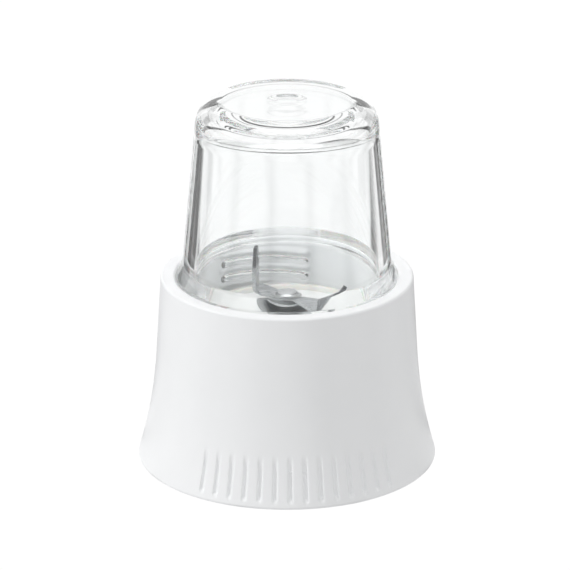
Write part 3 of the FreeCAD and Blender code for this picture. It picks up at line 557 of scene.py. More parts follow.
def moulded_abs():
    """Injection-moulded white ABS: a satin skin with a fine spark-eroded grain that breaks up
    its reflections, and the faint unevenness of a thick moulding."""
    rgb = settings("mill_colours").base
    material, tree, shader = new_material("abs_moulded_satin", Roughness=0.42, IOR=1.53)
    noise = mottled(tree, shader, rgb, grain=9.0, amount=0.012)
    roughened(tree, shader, noise, 0.38, 0.46)
    place = add_node(tree, "ShaderNodeTexCoord").outputs["Object"]
    grain = add_node(tree, "ShaderNodeTexNoise", {
        "Vector": place, "Scale": 1 / (0.5 * MM), "Detail": 2.0})
    embossed(tree, shader, grain.outputs["Fac"], 0.006)
    return material


def pressed_glass():
    """Pressed soda-lime glass: clear, fire-polished, with the slow waves that a mould leaves."""
    rgb = settings("mill_colours").glass
    material, tree, shader = new_material(
        "soda_lime_glass_pressed", Base_Color=opaque(rgb), Roughness=0.0, IOR=1.52,
        Transmission_Weight=1.0)
    place = add_node(tree, "ShaderNodeTexCoord").outputs["Object"]
    waves = add_node(tree, "ShaderNodeTexNoise", {
        "Vector": place, "Scale": 1 / (22 * MM), "Detail": 1.0})
    embossed(tree, shader, waves.outputs["Fac"], 0.05)
    return material


def turned_steel(name, hue, rough):
    """Turned or rolled steel: grey metal whose fine lines run round its axis."""
    rgb = getattr(settings("mill_colours"), hue)
    material, tree, shader = new_material(name, Metallic=1.0, Roughness=rough)
    place = add_node(tree, "ShaderNodeTexCoord").outputs["Object"]
    split = add_node(tree, "ShaderNodeSeparateXYZ", {"Vector": place})
    squares = [add_node(tree, "ShaderNodeMath", {0: split.outputs[axis], 1: 2.0},
                        operation="POWER") for axis in ("X", "Y")]
    total = add_node(tree, "ShaderNodeMath", {
        0: squares[0].outputs[0], 1: squares[1].outputs[0]}, operation="ADD")
    radius = add_node(tree, "ShaderNodeMath", {0: total.outputs[0], 1: 0.5}, operation="POWER")
    rings = add_node(tree, "ShaderNodeCombineXYZ", {
        "X": radius.outputs[0], "Z": split.outputs["Z"]})
    lines = add_node(tree, "ShaderNodeTexNoise", {
        "Vector": rings.outputs["Vector"], "Scale": 1 / (0.25 * MM), "Detail": 3.0})
    mottled(tree, shader, rgb, grain=2.5, amount=0.12)
    roughened(tree, shader, lines, rough - 0.08, rough + 0.1)
    embossed(tree, shader, lines.outputs["Fac"], 0.004)
    return material


def ground_blade_steel():
    """Stamped cutter steel, ground along the blade: straight fine scratches, a little darker
    than the turned pieces, with brighter and duller patches, and painted shade on the top of each
    wing."""
    hue = settings("mill_colours")
    size = settings("mill_cutter")
    material, tree, shader = new_material("cutter_steel_ground", Metallic=1.0, Roughness=0.26)
    place = add_node(tree, "ShaderNodeTexCoord").outputs["Object"]
    along = add_node(tree, "ShaderNodeMapping", {
        "Vector": place, "Rotation": (0, 0, size.arm),
        "Scale": (0.04, 1.0, 1.0)})
    scratches = add_node(tree, "ShaderNodeTexNoise", {
        "Vector": along.outputs["Vector"], "Scale": 1 / (0.3 * MM), "Detail": 4.0})
    mottled(tree, shader, hue.blade, grain=3.0, amount=0.18)
    split = add_node(tree, "ShaderNodeSeparateXYZ", {"Vector": place})
    _, tip, _ = extent("cutter_blade")
    # painted shade: the top of each wing is mixed towards the darker edge colour, by height
    ground = add_node(tree, "ShaderNodeMapRange", {
        "Value": split.outputs["Z"], "From Min": tip - size.tip_shade_reach,
        "From Max": tip - size.tip_shade_reach + size.tip_shade_fade}).outputs["Result"]
    shaded_tip_colour = add_node(tree, "ShaderNodeMix", {
        "Factor": ground, 6: shader.inputs["Base Color"].links[0].from_socket,
        7: opaque(hue.edge)}, data_type="RGBA").outputs[2]
    tree.links.new(shaded_tip_colour, shader.inputs["Base Color"])
    roughened(tree, shader, scratches, 0.2, 0.38)
    embossed(tree, shader, scratches.outputs["Fac"], 0.006)
    return material


def grained(name, hue, grain, amount, rough, bump, sockets, stretch=(1, 1, 1)):
    """A finish whose colour, roughness and bump follow one noise. Grain and bump are in
    millimetres, and rough holds the roughness at the noise's two ends."""
    material, tree, shader = new_material(name, **sockets)
    rgb = getattr(settings("mill_colours"), hue)
    noise = mottled(tree, shader, rgb, grain, amount, stretch)
    if rough:
        roughened(tree, shader, noise, *rough)
    if bump:
        embossed(tree, shader, noise.outputs["Fac"], bump)
    return material


# The maker of each slot's material, and the values it is given.
FINISHES = {
    "base_plastic": (moulded_abs,),
    # Injection-moulded polypropylene: softer and duller than ABS, with slow flow marks.
    "carrier_plastic": (grained, "polypropylene_moulded", "carrier", 6.0, 0.04, (0.34, 0.5), 0.02,
                        {"Roughness": 0.4, "IOR": 1.49}),
    "cup_glass": (pressed_glass,),
    # Moulded silicone rubber: milky, soft looking, light passes a little way into it.
    "silicone": (grained, "silicone_moulded", "silicone", 3.0, 0.03, (0.44, 0.58), 0.0,
                 {"Roughness": 0.5, "IOR": 1.41, "Subsurface_Weight": 0.3,
                  "Subsurface_Scale": 1.5 * MM}),
    # Moulded nitrile rubber: black and matt, with the grain of its mould.
    "nitrile": (grained, "nitrile_moulded", "nitrile", 0.8, 0.3, (0.55, 0.75), 0.01,
                {"Roughness": 0.65, "IOR": 1.52}),
    "stainless": (turned_steel, "stainless_turned", "stainless", 0.3),
    "plated_steel": (turned_steel, "steel_zinc_plated", "zinc", 0.38),
    "screw_steel": (turned_steel, "screw_steel_passivated", "screw", 0.34),
    "blade_steel": (ground_blade_steel,),
    # Sintered bronze: warm, dull and full of small dark pores that hold its oil.
    "bronze": (grained, "bronze_sintered", "bronze", 0.35, 0.45, (0.65, 0.42), 0.03,
               {"Metallic": 1.0, "Roughness": 0.5}),
    # Pressed wool felt: matt, fuzzy and uneven, with short fibres in all directions.
    "felt": (grained, "wool_felt_pressed", "felt", 0.4, 0.35, None, 0.15,
             {"Roughness": 0.95, "Sheen_Weight": 0.5, "Sheen_Roughness": 0.6}, (1.0, 0.35, 1.0)),
    # Small mouldings in engineering plastics: even, slightly waxy, lightly mottled.
    "washer_nylon": (grained, "nylon_moulded", "nylon", 2.0, 0.06, (0.39, 0.53), 0.01,
                     {"Roughness": 0.45, "IOR": 1.5}),
    "coupling_plastic": (grained, "acetal_moulded", "acetal", 2.0, 0.06, (0.3, 0.44), 0.01,
                         {"Roughness": 0.36, "IOR": 1.5}),
}
made = {}      # the materials made so far, by slot


# ---------------------------------------------------------------- shaping

def ease(value):
    """Smooth step from 0 to 1."""
    value = min(1.0, max(0.0, value))
    return value * value * (3 - 2 * value)


def groove_depth(azimuth, height):
    """Depth of the grip grooves at a point of the flare."""
    grip = settings("mill_grip")
    if not grip.bottom - grip.half_width < height < grip.top:
        return 0.0
    span = grip.pitch * grip.count
    for side in (-math.pi / 2, math.pi / 2):
        turned = math.remainder(azimuth - side, FULL_TURN)
        if abs(turned) < span / 2:
            offset = math.remainder(turned - grip.pitch / 2, grip.pitch)
            across = abs(offset) * settings("mill_base").foot / grip.half_width
            below = max(0.0, grip.bottom + grip.half_width - height) / grip.half_width
            reach = 1 - math.hypot(across, below)
            return grip.depth * ease(reach * grip.steepness) * ease((grip.top - height) / grip.fade)
    return 0.0


def ridge_height(azimuth, height, rows, reach):
    """How far the interrupted thread's ridges stand out at a point of a wall."""
    thread = settings("mill_thread")
    lead = thread.pitch * thread.starts
    for start in range(thread.starts):
        turned = math.remainder(azimuth - thread.middle - FULL_TURN * start / thread.starts,
                                FULL_TURN)
        past = thread.sector / 2 - abs(turned)
        if past <= 0:
            continue
        for row in rows:
            off = height - row - lead * turned / FULL_TURN
            if abs(off) < thread.ridge:
                crest = reach * (1 + math.cos(math.pi * off / thread.ridge)) / 2
                return crest * ease(past / thread.run_out)
    return 0.0


def moved_along_radius(piece, shift, near, far):
    """Moves each vertex whose radius lies between near and far, along its radius, by
    shift(azimuth, height)."""
    for vertex in piece.data.vertices:
        radius = math.hypot(vertex.co.x, vertex.co.y)
        if near < radius < far:
            by = shift(math.atan2(vertex.co.y, vertex.co.x), vertex.co.z)
            if by:
                vertex.co.x *= 1 + by / radius
                vertex.co.y *= 1 + by / radius


# ---------------------------------------------------------------- base

ROUND_STEP = math.radians(15)       # turn between two points of a small rounding
FLARE_STEP = math.radians(0.25)     # the same on the flare, where the grooves are raised
PLAIN_SHARE = 10                    # above the grooves, one point in this many is kept
INSIDE_STEP = math.radians(4)       # turn between two points of the flare's inner face
WALL_RINGS = 3 * MM                 # distance between the rings of the plain outer wall
GROOVE_COLUMNS = 16                 # columns of the mesh across one grip groove
PLAIN_COLUMNS = 48                  # columns on each side without grooves
LUG_COLUMNS = 8


def shell_outline():
    """Outline of the base's moulding, anticlockwise from the register's foot. Its points are
    close together where the grip grooves and the socket's thread are raised from it."""
    size = settings("mill_base")
    groove_top = settings("mill_grip").top
    _, height, _ = extent("base_shell")
    small = size.edge_round
    web_low = size.web_height - size.web
    under_rim = height - size.rim_thickness
    outer_socket = size.socket + size.socket_wall
    inner_rim = size.rim - size.wall
    waist = (size.waist, size.waist_height)
    flare = tangent_arc((size.foot, 0), waist, (size.rim, height), FLARE_STEP)
    flare = [point for index, point in enumerate(flare)
             if size.foot_round < point.y
             and (point.y < groove_top or index % PLAIN_SHARE == 0)]
    inside = tangent_arc((size.register, size.register_height),
                         (size.waist - size.wall, size.waist_height), (inner_rim, under_rim),
                         INSIDE_STEP)
    outline = rounded([(size.register, size.register_height), (size.register, 0, small),
                       (size.foot, 0, size.foot_round), tuple(flare[0])], ROUND_STEP)[1:]
    outline += flare[1:] + [Vector(waist)]
    outline += divided(waist, (size.rim, height - size.rim_round), WALL_RINGS)
    outline += rounded([waist, (size.rim, height, size.rim_round),
                        (size.socket, height, size.rim_round),
                        (size.socket, size.ledge)])[1:-1]
    outline += divided((size.socket, height - size.rim_round), (size.socket, size.ledge),
                       size.thread_rings)
    outline += rounded([
        (size.socket, size.ledge), (size.socket - size.socket_step, size.ledge, small),
        (size.socket - size.socket_step, size.web_height),
        (size.web_opening, size.web_height, small), (size.web_opening, web_low, small),
        (outer_socket, web_low), (outer_socket, under_rim), (inner_rim, under_rim)],
        ROUND_STEP)
    return outline + inside[::-1]


def box_piece(name, low, high, rounding):
    """A block between two corners in metres, with its edges rounded."""
    object_mode()
    bpy.ops.mesh.primitive_cube_add(size=1)
    piece = named(name)
    bpy.ops.object.mode_set(mode="EDIT")
    bpy.ops.mesh.select_all(action="SELECT")
    bpy.ops.transform.resize(value=[b - a for a, b in zip(low, high)])
    bpy.ops.transform.translate(value=[(a + b) / 2 for a, b in zip(low, high)])
    bpy.ops.mesh.bevel(offset=rounding, segments=2)
    bpy.ops.object.mode_set(mode="OBJECT")
    return piece


def turned_copies(piece, count, first=0.0):
    """Copies of a piece, each with its own mesh, spaced evenly round the Z axis."""
    copies = []
    for index in range(count):
        pick(piece)
        bpy.ops.object.duplicate()
        copy = bpy.context.object
        copy.data.transform(Matrix.Rotation(first + FULL_TURN * index / count, 4, "Z"))
        copies.append(copy)
    bpy.data.objects.remove(piece)
    return copies


class MILL_OT_base_shell(bpy.types.Operator):
    """Flared base with its rim, threaded socket, ribs, lugs and grip grooves"""
    bl_idname = "mill.base_shell"
    bl_label = "Base shell"

    def execute(self, context):
        size = settings("mill_base")
        grip = settings("mill_grip")
        thread = settings("mill_thread")
        gripped = grip.pitch * grip.count
        spans = ((gripped, GROOVE_COLUMNS * grip.count), (math.pi - gripped, PLAIN_COLUMNS)) * 2
        shell = turned_piece("base_moulding", shell_outline(), spans,
                             start=-math.pi / 2 + gripped / 2)
        moved_along_radius(shell, lambda azimuth, height: -groove_depth(azimuth, height),
                           size.waist + size.wall / 2, size.foot + MM)
        rows = [thread.lowest + thread.pitch * step for step in range(thread.starts)]
        moved_along_radius(
            shell, lambda azimuth, height: -ridge_height(azimuth, height, rows,
                                                         thread.socket_reach),
            size.socket - ON_WALL, size.socket + ON_WALL)
        web_low = size.web_height - size.web
        rib = box_piece(
            "rib", (size.web_opening + size.rib_setback, -size.rib / 2, web_low - size.rib_depth),
            (size.waist - size.wall / 2, size.rib / 2, web_low + size.web / 2), size.rib_round)
        lug_inner = size.register - size.lug_reach
        lug_outer = size.register + size.wall / 2
        lug_top = size.lug_height + size.lug
        lug = turned_piece("lug", rounded([
            (lug_inner, size.lug_height, size.lug_round), (lug_outer, size.lug_height),
            (lug_outer, lug_top), (lug_inner, lug_top, size.lug_round)]),
            ((size.lug_turn, LUG_COLUMNS),), start=size.lug_turn / 2)
        close_ends(lug)
        ribs = turned_copies(rib, size.ribs, math.pi / size.ribs)
        shell = join([shell] + ribs + turned_copies(lug, size.lugs))
        smooth(shell, degrees=40)
        finish_piece(shell, "base", ["base_shell"], "base_plastic")
        return {"FINISHED"}


def close_ends(piece):
    """Fills the two open ends of a part turn and turns the faces outwards."""
    pick(piece)
    bpy.ops.object.mode_set(mode="EDIT")
    for _ in range(2):
        bpy.ops.mesh.select_all(action="DESELECT")
        bpy.ops.mesh.select_non_manifold()
        bpy.ops.mesh.edge_face_add()
    clean_up()
    bpy.ops.object.mode_set(mode="OBJECT")


# ---------------------------------------------------------------- cup and gasket

CUP_STEP = math.radians(5)      # turn between two points of the glass's roundings
CUP_COLUMNS = 240
GASKET_COLUMNS = 160
DIMPLE_RINGS = 10


def cup_outline():
    """Outline of the glass from the middle of its top, over its mouth, to its inner end."""
    size = settings("mill_cup")
    lip, top, _ = extent("mill_cup")
    inner_top = top - size.end
    flange_low = size.flange_top - size.flange_thickness
    slope_end = (size.neck, flange_low - size.slope)
    dimple = [Vector((0, top - size.dimple_depth))]
    for ring in range(DIMPLE_RINGS + 1):
        share = ring / DIMPLE_RINGS
        sag = size.dimple_depth * (1 + math.cos(math.pi * share)) / 2
        radius = size.dimple_floor + (size.dimple - size.dimple_floor) * share
        dimple.append(Vector((radius, top - sag)))
    outer = rounded([
        tuple(dimple[-1]), (size.top, top, size.top_round),
        (size.shoulder, size.shoulder_height, size.shoulder_round),
        (size.flange, size.flange_top, size.flange_round),
        (size.flange, flange_low, size.flange_round), slope_end,
        (size.neck, lip, size.lip_round), (size.mouth, lip, size.lip_round),
        (size.inner_top, inner_top, size.inner_round), (0, inner_top)], CUP_STEP)
    neck = divided(slope_end, (size.neck, lip + size.lip_round), size.thread_rings)
    where = next(i for i, point in enumerate(outer)
                 if (point - Vector(slope_end)).length < MERGE)
    return dimple[:-1] + outer[:where + 1] + neck + outer[where + 1:]


class MILL_OT_cup(bpy.types.Operator):
    """Pressed glass cup with its dimpled end, seating flange and thread ridges"""
    bl_idname = "mill.cup"
    bl_label = "Glass cup"

    def execute(self, context):
        size = settings("mill_cup")
        thread = settings("mill_thread")
        cup = turned_piece("glass_cup", cup_outline(), ((FULL_TURN, CUP_COLUMNS),),
                           closed=False)
        first = thread.lowest + thread.pitch / 2
        rows = [first + thread.pitch * step for step in range(thread.starts - 1)]
        moved_along_radius(
            cup, lambda azimuth, height: ridge_height(azimuth, height, rows, thread.cup_reach),
            size.neck - ON_WALL, size.neck + ON_WALL)
        smooth(cup, degrees=80)
        cup.visible_shadow = False      # clear glass lets the lamps' light through
        finish_piece(cup, "cup", ["mill_cup"], "cup_glass")
        return {"FINISHED"}


class MILL_OT_gasket(bpy.types.Operator):
    """Flat silicone ring that the cup's mouth closes on"""
    bl_idname = "mill.gasket"
    bl_label = "Gasket"

    def execute(self, context):
        size = settings("mill_gasket")
        low, high, outer = extent("cup_gasket")
        inner = settings("mill_cup").mouth - size.inset
        groove = (inner + outer) / 2
        gasket = turned_solid("gasket_ring", [
            (inner, low, size.edge), (outer, low, size.edge), (outer, high, size.edge),
            (groove + size.groove, high, size.edge / 2),
            (groove, high - size.groove_depth, size.edge),
            (groove - size.groove, high, size.edge / 2), (inner, high, size.edge)],
            ((FULL_TURN, GASKET_COLUMNS),))
        finish_piece(gasket, "gasket", ["cup_gasket"], "silicone")
        return {"FINISHED"}


# ---------------------------------------------------------------- cutter

BEND_COLUMNS = 8        # faces along a bend line and across a wing
EDGE_STEPS = 8          # steps along each half of an edge between the wings
HUB_RINGS = 4           # rings of faces from the hole to the edge
ARC_STEPS = 6           # rows up the arc of a bend
WING_STEPS = 9          # rows from there to the tip
DOME_RINGS = 10
DOME_COLUMNS = 64


def bend_frame(side):
    """Middle, direction along and direction outwards of one arm's bend line, and the angle
    that the wing is bent up by. The line is set in so that the bend's arc ends on the wing."""
    size = settings("mill_cutter")
    rise = math.pi / 2 - (size.steep if side == 1 else size.flat)
    bend = size.arm - size.skew
    along = Vector((math.cos(bend), math.sin(bend))) * side
    outward = Vector((-along.y, along.x))
    middle = Vector((math.cos(size.arm), math.sin(size.arm))) * size.bend_distance * side
    return middle - outward * size.bend_round * math.tan(rise / 2), along, outward, rise


def hole_radius(azimuth):
    """Radius of the flatted hole in one direction."""
    size = settings("mill_cutter")
    return min(size.hole, size.flats / max(abs(math.cos(azimuth)), MERGE))


def blank_loop():
    """The blank's outline as a loop: two bend lines, with the edges between them swelling
    out to the hub."""
    size = settings("mill_cutter")
    loop = []
    for side in (1, -1):
        middle, along, _, _ = bend_frame(side)
        half = along * size.bend_width / 2
        waist = size.arm - size.waist
        hub = Vector((math.cos(waist), math.sin(waist))) * size.hub * side
        next_middle, next_along, _, _ = bend_frame(-side)
        following = next_middle - next_along * size.bend_width / 2
        loop += [middle - half + along * size.bend_width * i / BEND_COLUMNS
                 for i in range(BEND_COLUMNS + 1)]
        for start, end in ((middle + half, hub), (hub, following)):
            loop += [start.lerp(end, i / EDGE_STEPS) for i in range(1, EDGE_STEPS + 1)]
        loop.pop()
    return [point if point.length > size.hub else point.normalized() * size.hub
            for point in loop]


def add_mesh(name, vertices, faces):
    """A new mesh object from vertices and faces, the only one selected."""
    object_mode()
    mesh = bpy.data.meshes.new(name)
    mesh.from_pydata([tuple(v) for v in vertices], [], faces)
    piece = bpy.data.objects.new(name, mesh)
    bpy.context.scene.collection.objects.link(piece)
    pick(piece)
    return piece


def wing_rows(side):
    """Rows of points across one wing: up the arc of its bend, then straight to its tip."""
    size = settings("mill_cutter")
    middle, along, outward, rise = bend_frame(side)
    middle, along, outward = middle.to_3d(), along.to_3d(), outward.to_3d()
    up = Vector((0, 0, 1))
    stations = []
    for step in range(1, ARC_STEPS + 1):
        angle = rise * step / ARC_STEPS
        stations.append((outward * math.sin(angle) + up * (1 - math.cos(angle)))
                        * size.bend_round)
    face = outward * math.cos(rise) + up * math.sin(rise)
    straight = size.wing - size.bend_round * math.tan(rise / 2)
    stations += [stations[-1] + face * straight * step / WING_STEPS
                 for step in range(1, WING_STEPS + 1)]
    half, tip = size.bend_width / 2, size.tip / 2
    rows = []
    for index, station in enumerate(stations):
        share = max(0.0, (index + 1 - ARC_STEPS) / WING_STEPS)
        taper = max(0.0, share - size.taper_from) ** size.taper_curve
        right = half + (tip - half) * taper
        left = half + (tip - half) * max(0.0, share - size.back_from) / (1 - size.back_from)
        rows.append([middle + station + along * (-left + (left + right) * i / BEND_COLUMNS)
                     for i in range(BEND_COLUMNS + 1)])
    return rows


class MILL_OT_blade(bpy.types.Operator):
    """Stamped cutter blade: a flat hub and two upturned, ground wings"""
    bl_idname = "mill.blade"
    bl_label = "Cutter blade"

    def execute(self, context):
        size = settings("mill_cutter")
        height = extent("cutter_blade")[0] + size.sheet / 2
        loop = blank_loop()
        count = len(loop)
        vertices = []
        for ring in range(HUB_RINGS + 1):
            for point in loop:
                hole = point.normalized() * hole_radius(math.atan2(point.y, point.x))
                vertices.append((*hole.lerp(point, ring / HUB_RINGS), height))
        faces = [(ring * count + i, ring * count + (i + 1) % count,
                  (ring + 1) * count + (i + 1) % count, (ring + 1) * count + i)
                 for ring in range(HUB_RINGS) for i in range(count)]
        flat_count = len(vertices)
        columns = BEND_COLUMNS + 1
        for side in (1, -1):
            first = HUB_RINGS * count + (0 if side == 1 else count // 2)
            previous = list(range(first, first + columns))
            for row in wing_rows(side):
                current = list(range(len(vertices), len(vertices) + columns))
                vertices += [(p.x, p.y, p.z + height) for p in row]
                faces += [(previous[i], previous[i + 1], current[i + 1], current[i])
                          for i in range(BEND_COLUMNS)]
                previous = current
        blade = add_mesh("blade", vertices, faces)
        ground = blade.vertex_groups.new(name="ground")
        for index in range(len(vertices)):
            sharp = index >= flat_count and (index - flat_count) % columns == BEND_COLUMNS
            ground.add([index], size.ground_edge / size.sheet if sharp else 1.0, "REPLACE")
        apply_modifier(blade, "SOLIDIFY", thickness=size.sheet, offset=0,
                       vertex_group="ground", use_even_offset=True)
        round_edges(blade, size.edge_round, 50)
        blade.vertex_groups.clear()
        smooth(blade, degrees=30)
        finish_piece(blade, "cutter", ["cutter_blade"], "blade_steel")
        return {"FINISHED"}


class MILL_OT_cutter_stack(bpy.types.Operator):
    """Collar, washer and domed nut that clamp the blade, and the cap over the seal"""
    bl_idname = "mill.cutter_stack"
    bl_label = "Collar, washer, nut and seal cap"

    def execute(self, context):
        size = settings("mill_stack")
        hole = settings("mill_cutter").hole
        edge, fine = size.edge, size.small_edge
        low, high, disc = extent("blade_spacer")
        collar, disc_top = disc - size.disc_reach, low + size.disc
        spacer = turned_solid("blade_collar", [
            (hole, low), (disc, low, edge), (disc, disc_top, edge),
            (collar, disc_top, size.fillet), (collar, high, edge), (hole, high)])
        finish_piece(spacer, "cutter", ["blade_spacer"], "stainless")

        low, high, outer = extent("blade_washer")
        washer = turned_solid("clamp_washer", [
            (hole, low), (outer, low, edge), (outer, high, edge), (hole, high)])
        finish_piece(washer, "cutter", ["blade_washer"], "stainless")

        finish_piece(self.nut(), "cutter", ["cutter_nut"], "stainless")

        low, high, outer = extent("seal_cap")
        spigot, brim_low = outer - size.brim, high - size.skin
        cap = turned_solid("seal_cover", [
            (spigot - size.skin, low), (spigot, low, fine), (spigot, brim_low, edge),
            (outer, brim_low, fine), (outer, high, size.brim_edge), (size.opening, high, edge),
            (size.opening, brim_low, fine), (spigot - size.skin, brim_low, edge)])
        finish_piece(cap, "base", ["seal_cap"], "stainless")
        return {"FINISHED"}

    def nut(self):
        """Hexagon with chamfered corners under a low dome."""
        size = settings("mill_stack")
        low, high, _ = extent("cutter_nut")
        shoulder = high - size.nut_dome
        object_mode()
        bpy.ops.mesh.primitive_cylinder_add(
            vertices=6, radius=size.nut_flats / math.cos(math.pi / 6), depth=shoulder - low,
            location=(0, 0, (low + shoulder) / 2), rotation=(0, 0, math.pi / 6))
        nut = named("clamp_nut")
        bpy.ops.object.transform_apply(location=True, rotation=True, scale=True)
        round_edges(nut, size.nut_chamfer, 40, segments=3)
        dome_radius = size.nut_flats - size.dome_step
        outline = [Vector((0, shoulder - size.dome_root)),
                   Vector((dome_radius, shoulder - size.dome_root))]
        for ring in range(DOME_RINGS):
            angle = math.pi / 2 * ring / DOME_RINGS
            outline.append(Vector((dome_radius * math.cos(angle),
                                   shoulder + size.nut_dome * math.sin(angle))))
        dome = turned_piece("dome", outline + [Vector((0, high))],
                            ((FULL_TURN, DOME_COLUMNS),), closed=False)
        nut = join([nut, dome])
        smooth(nut)
        return nut


# ---------------------------------------------------------------- inner pieces

# Body, node, slot and rounding of its edges in millimetres.
SOFTENED = (
    ("base", "cutter_carrier", "carrier_plastic", 0.35),
    ("base", "carrier_screws", "screw_steel", 0.2),
    ("base", "bearing_retainer", "plated_steel", 0.15),
    ("base", "retainer_screws", "screw_steel", 0.15),
    ("base", "lower_bearing", "bronze", 0.2),
    ("base", "upper_bearing", "bronze", 0.2),
    ("base", "shaft_seal", "nitrile", 0.2),
    ("cutter", "cutter_shaft", "stainless", 0.2),
    ("cutter", "thrust_washer", "washer_nylon", 0.12),
    ("cutter", "spring_washer", "plated_steel", 0.12),
    ("cutter", "retaining_ring", "plated_steel", 0.12),
    ("cutter", "drive_coupling", "coupling_plastic", 0.4),
    ("cutter", "coupling_insert", "plated_steel", 0.15),
    ("cutter", "coupling_washer", "plated_steel", 0.12),
    ("cutter", "coupling_screw", "screw_steel", 0.2),
)


class MILL_OT_inner_pieces(bpy.types.Operator):
    """Pieces below the chamber: their edges are rounded and they get their finishes"""
    bl_idname = "mill.inner_pieces"
    bl_label = "Inner pieces"

    def execute(self, context):
        for body, node, slot, rounding in SOFTENED:
            piece = softened_copy(node, rounding * MM)
            finish_piece(piece, body, [node], slot)
        for node, slot in (("carrier_o_ring", "nitrile"), ("oil_felt", "felt")):
            give_finish(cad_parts[node], slot)
        return {"FINISHED"}


# ---------------------------------------------------------------- stage

CLIP_END = 50.0                     # how far the camera sees
KEY_PLACE, KEY_SIZE = (-1.6, -0.35, 0.9), (0.45, 0.8)
OVERHEAD_PLACE, OVERHEAD_SIZE = (0, 0.1, 1.8), (1.2, 1.2)
FLOOR_SQUARES = 8                   # squares along a side of the floor's grid
WHITE = (1.0, 1.0, 1.0, 1.0)


def area_light(name, place, size, watts):
    """A soft rectangular light at a place, turned towards the object."""
    data = bpy.data.lights.new(name, "AREA")
    data.shape = "RECTANGLE"
    data.size, data.size_y = size
    data.energy = watts
    light = bpy.data.objects.new(name, data)
    light.location = place
    aim = Vector((0, 0, settings("mill_stage").target))
    light.rotation_euler = (aim - Vector(place)).to_track_quat("-Z", "Y").to_euler()
    bpy.context.scene.collection.objects.link(light)
    return light


def side_flags(tree, direction):
    """Brightness by compass direction: white, with a dark flag at each side of the backdrop
    and narrow dark slats all round, which draw the edges of the glass and the metal."""
    size = settings("mill_stage")
    split = add_node(tree, "ShaderNodeSeparateXYZ", {"Vector": direction})
    azimuth = add_node(tree, "ShaderNodeMath", {
        0: split.outputs["X"], 1: split.outputs["Y"]}, operation="ARCTAN2")
    share = add_node(tree, "ShaderNodeMapRange", {
        "Value": azimuth.outputs[0], "From Min": -math.pi, "From Max": math.pi})
    flags = add_node(tree, "ShaderNodeValToRGB", {"Fac": share.outputs["Result"]})
    stops = flags.color_ramp.elements
    levels = [(size.left_far - size.flag_edge, size.beyond), (size.left_far, size.flag),
              (size.left_near, size.flag), (size.left_near + size.flag_edge, 1.0),
              (size.right_near - size.flag_edge, 1.0), (size.right_near, size.flag),
              (size.right_far, size.flag), (size.right_far + size.flag_edge, size.beyond)]
    for step in range(size.slats):
        middle = size.slat_first + size.slat_pitch * step
        for side in (-1, 1):
            levels += [(side * middle - size.slat, size.beyond), (side * middle, size.flag),
                       (side * middle + size.slat, size.beyond)]
    stops[0].color = stops[1].color = opaque([size.beyond] * 3)
    for angle, level in levels:
        stops.new((angle + math.pi) / FULL_TURN).color = opaque([level] * 3)
    return flags.outputs["Color"]


def lit_by_path(tree, kind, tint, gloss, gloss_strength):
    """Shaders of one kind for what is seen directly, for matt surfaces, for matt surfaces
    behind glass, and for gloss and glass, chosen by the path of the light."""
    size = settings("mill_stage")
    seen, glow, inside, shader = [
        add_node(tree, kind, {"Color": shade, "Strength": strength}).outputs[0]
        for shade, strength in ((tint, size.paper), (tint, size.glow), (tint, size.inside),
                                (gloss, gloss_strength))]
    path = add_node(tree, "ShaderNodeLightPath").outputs
    behind = add_node(tree, "ShaderNodeMath", {0: path["Diffuse Depth"], 1: 0.5},
                      operation="GREATER_THAN")
    for chosen, other in ((behind.outputs[0], inside), (path["Is Diffuse Ray"], glow),
                          (path["Is Camera Ray"], seen)):
        mix = add_node(tree, "ShaderNodeMixShader", {0: chosen, 1: shader, 2: other})
        shader = mix.outputs[0]
    return shader


def studio_world():
    """White room: pure white where it is seen directly, an even glow for matt surfaces, and
    for gloss and glass a dim near side, dark flags and a dark gap above the backdrop."""
    world = bpy.data.worlds.new("white_room")
    bpy.context.scene.world = world
    world.use_nodes = True
    tree = world.node_tree
    tree.nodes.clear()
    size = settings("mill_stage")
    direction = add_node(tree, "ShaderNodeTexCoord").outputs["Generated"]
    split = add_node(tree, "ShaderNodeSeparateXYZ", {"Vector": direction})
    depth = add_node(tree, "ShaderNodeMapRange", {
        "Value": split.outputs["Y"], "From Min": -size.near_side, "From Max": 0.0,
        "To Min": size.front, "To Max": size.room})
    gap = add_node(tree, "ShaderNodeValToRGB", {"Fac": split.outputs["Z"]})
    stops = gap.color_ramp.elements
    stops[0].color = stops[1].color = WHITE
    for height, level in ((size.gap_low - size.gap_edge, 1.0), (size.gap_low, size.gap),
                          (size.gap_high, size.gap), (size.gap_high + size.gap_edge, 1.0)):
        stops.new(height).color = opaque([level] * 3)
    gloss = add_node(tree, "ShaderNodeMix", {
        "Factor": 1.0, 6: side_flags(tree, direction), 7: gap.outputs["Color"]},
        data_type="RGBA", blend_type="MULTIPLY")
    surface = lit_by_path(tree, "ShaderNodeBackground", WHITE, gloss.outputs[2],
                          depth.outputs["Result"])
    add_node(tree, "ShaderNodeOutputWorld", {"Surface": surface})


def floor_paper():
    """White paper sweep, lit so evenly that it reads as pure white; matt surfaces get the same
    even glow from it as from the room."""
    material = bpy.data.materials.new("paper_matt")
    material.use_nodes = True
    tree = material.node_tree
    tree.nodes.clear()
    size = settings("mill_stage")
    place = add_node(tree, "ShaderNodeTexCoord").outputs["Object"]
    fibres = add_node(tree, "ShaderNodeTexNoise", {
        "Vector": place, "Scale": 1 / (1.5 * MM), "Detail": 2.0})
    tint = add_node(tree, "ShaderNodeMapRange", {
        "Value": fibres.outputs["Fac"], "To Min": size.paper_low, "To Max": 1.0})
    surface = lit_by_path(tree, "ShaderNodeEmission", tint.outputs["Result"],
                          side_flags(tree, place), size.room)
    add_node(tree, "ShaderNodeOutputMaterial", {"Surface": surface})
    return material


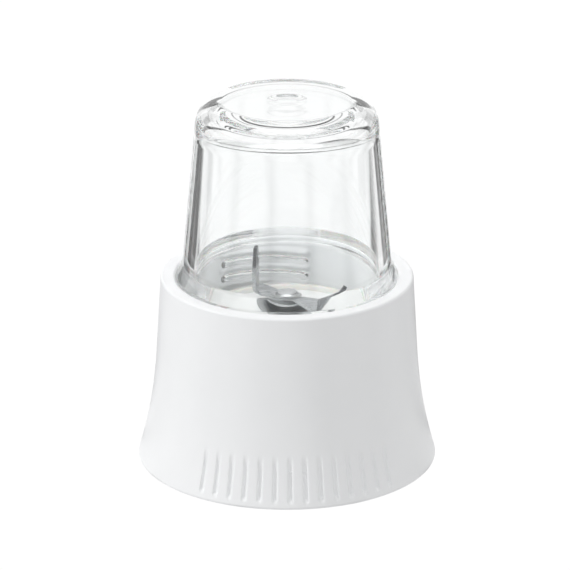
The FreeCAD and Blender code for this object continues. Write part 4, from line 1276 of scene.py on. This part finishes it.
class MILL_OT_stage(bpy.types.Operator):
    """Camera, white floor, white room and soft lights"""
    bl_idname = "mill.stage"
    bl_label = "Stage"

    def execute(self, context):
        size = settings("mill_stage")
        data = bpy.data.cameras.new("camera")
        data.sensor_width = size.sensor
        data.lens = size.lens
        data.shift_x = size.shift_x
        data.shift_y = size.shift_y
        data.clip_end = CLIP_END
        camera = bpy.data.objects.new("camera", data)
        flat = math.cos(size.elevation)
        back = Vector((math.sin(size.azimuth) * flat, -math.cos(size.azimuth) * flat,
                       math.sin(size.elevation)))
        camera.location = Vector((0, 0, size.target)) + back * size.distance
        camera.rotation_euler = back.to_track_quat("Z", "Y").to_euler()
        context.scene.collection.objects.link(camera)
        context.scene.camera = camera

        object_mode()
        bpy.ops.mesh.primitive_grid_add(x_subdivisions=FLOOR_SQUARES,
                                        y_subdivisions=FLOOR_SQUARES, size=size.floor)
        floor = named("floor")
        floor.data.materials.append(floor_paper())

        studio_world()
        key = area_light("key", KEY_PLACE, KEY_SIZE, size.key)
        key.visible_glossy = False
        key.visible_transmission = False
        area_light("overhead", OVERHEAD_PLACE, OVERHEAD_SIZE, size.overhead)
        context.scene.view_settings.view_transform = "Standard"
        for kind in ("max", "transmission", "glossy", "diffuse"):
            # light runs round many times inside the glass
            setattr(context.scene.cycles, kind + "_bounces", size.bounces)
        return {"FINISHED"}


# ---------------------------------------------------------------- add-on

STEPS = (MILL_OT_stage, MILL_OT_base_shell, MILL_OT_cup, MILL_OT_gasket, MILL_OT_blade,
         MILL_OT_cutter_stack, MILL_OT_inner_pieces)


class MILL_PT_pieces(bpy.types.Panel):
    """Lists the pieces in the order in which they are made"""
    bl_idname = "MILL_PT_pieces"
    bl_label = "Dry mill attachment"
    bl_space_type = "VIEW_3D"
    bl_region_type = "UI"
    bl_category = "Mill"

    def draw(self, context):
        for step in STEPS:
            self.layout.operator(step.bl_idname)


CLASSES = (*SETTINGS.values(), *STEPS, MILL_PT_pieces)


def register():
    for cls in CLASSES:
        bpy.utils.register_class(cls)
    for name, group in SETTINGS.items():
        setattr(bpy.types.Scene, name, PointerProperty(type=group))


def unregister():
    for name in SETTINGS:
        delattr(bpy.types.Scene, name)
    for cls in reversed(CLASSES):
        bpy.utils.unregister_class(cls)


def main():
    register()
    for step in STEPS:
        group, name = step.bl_idname.split(".")
        getattr(getattr(bpy.ops, group), name)()


if __name__ == "__main__":
    main()
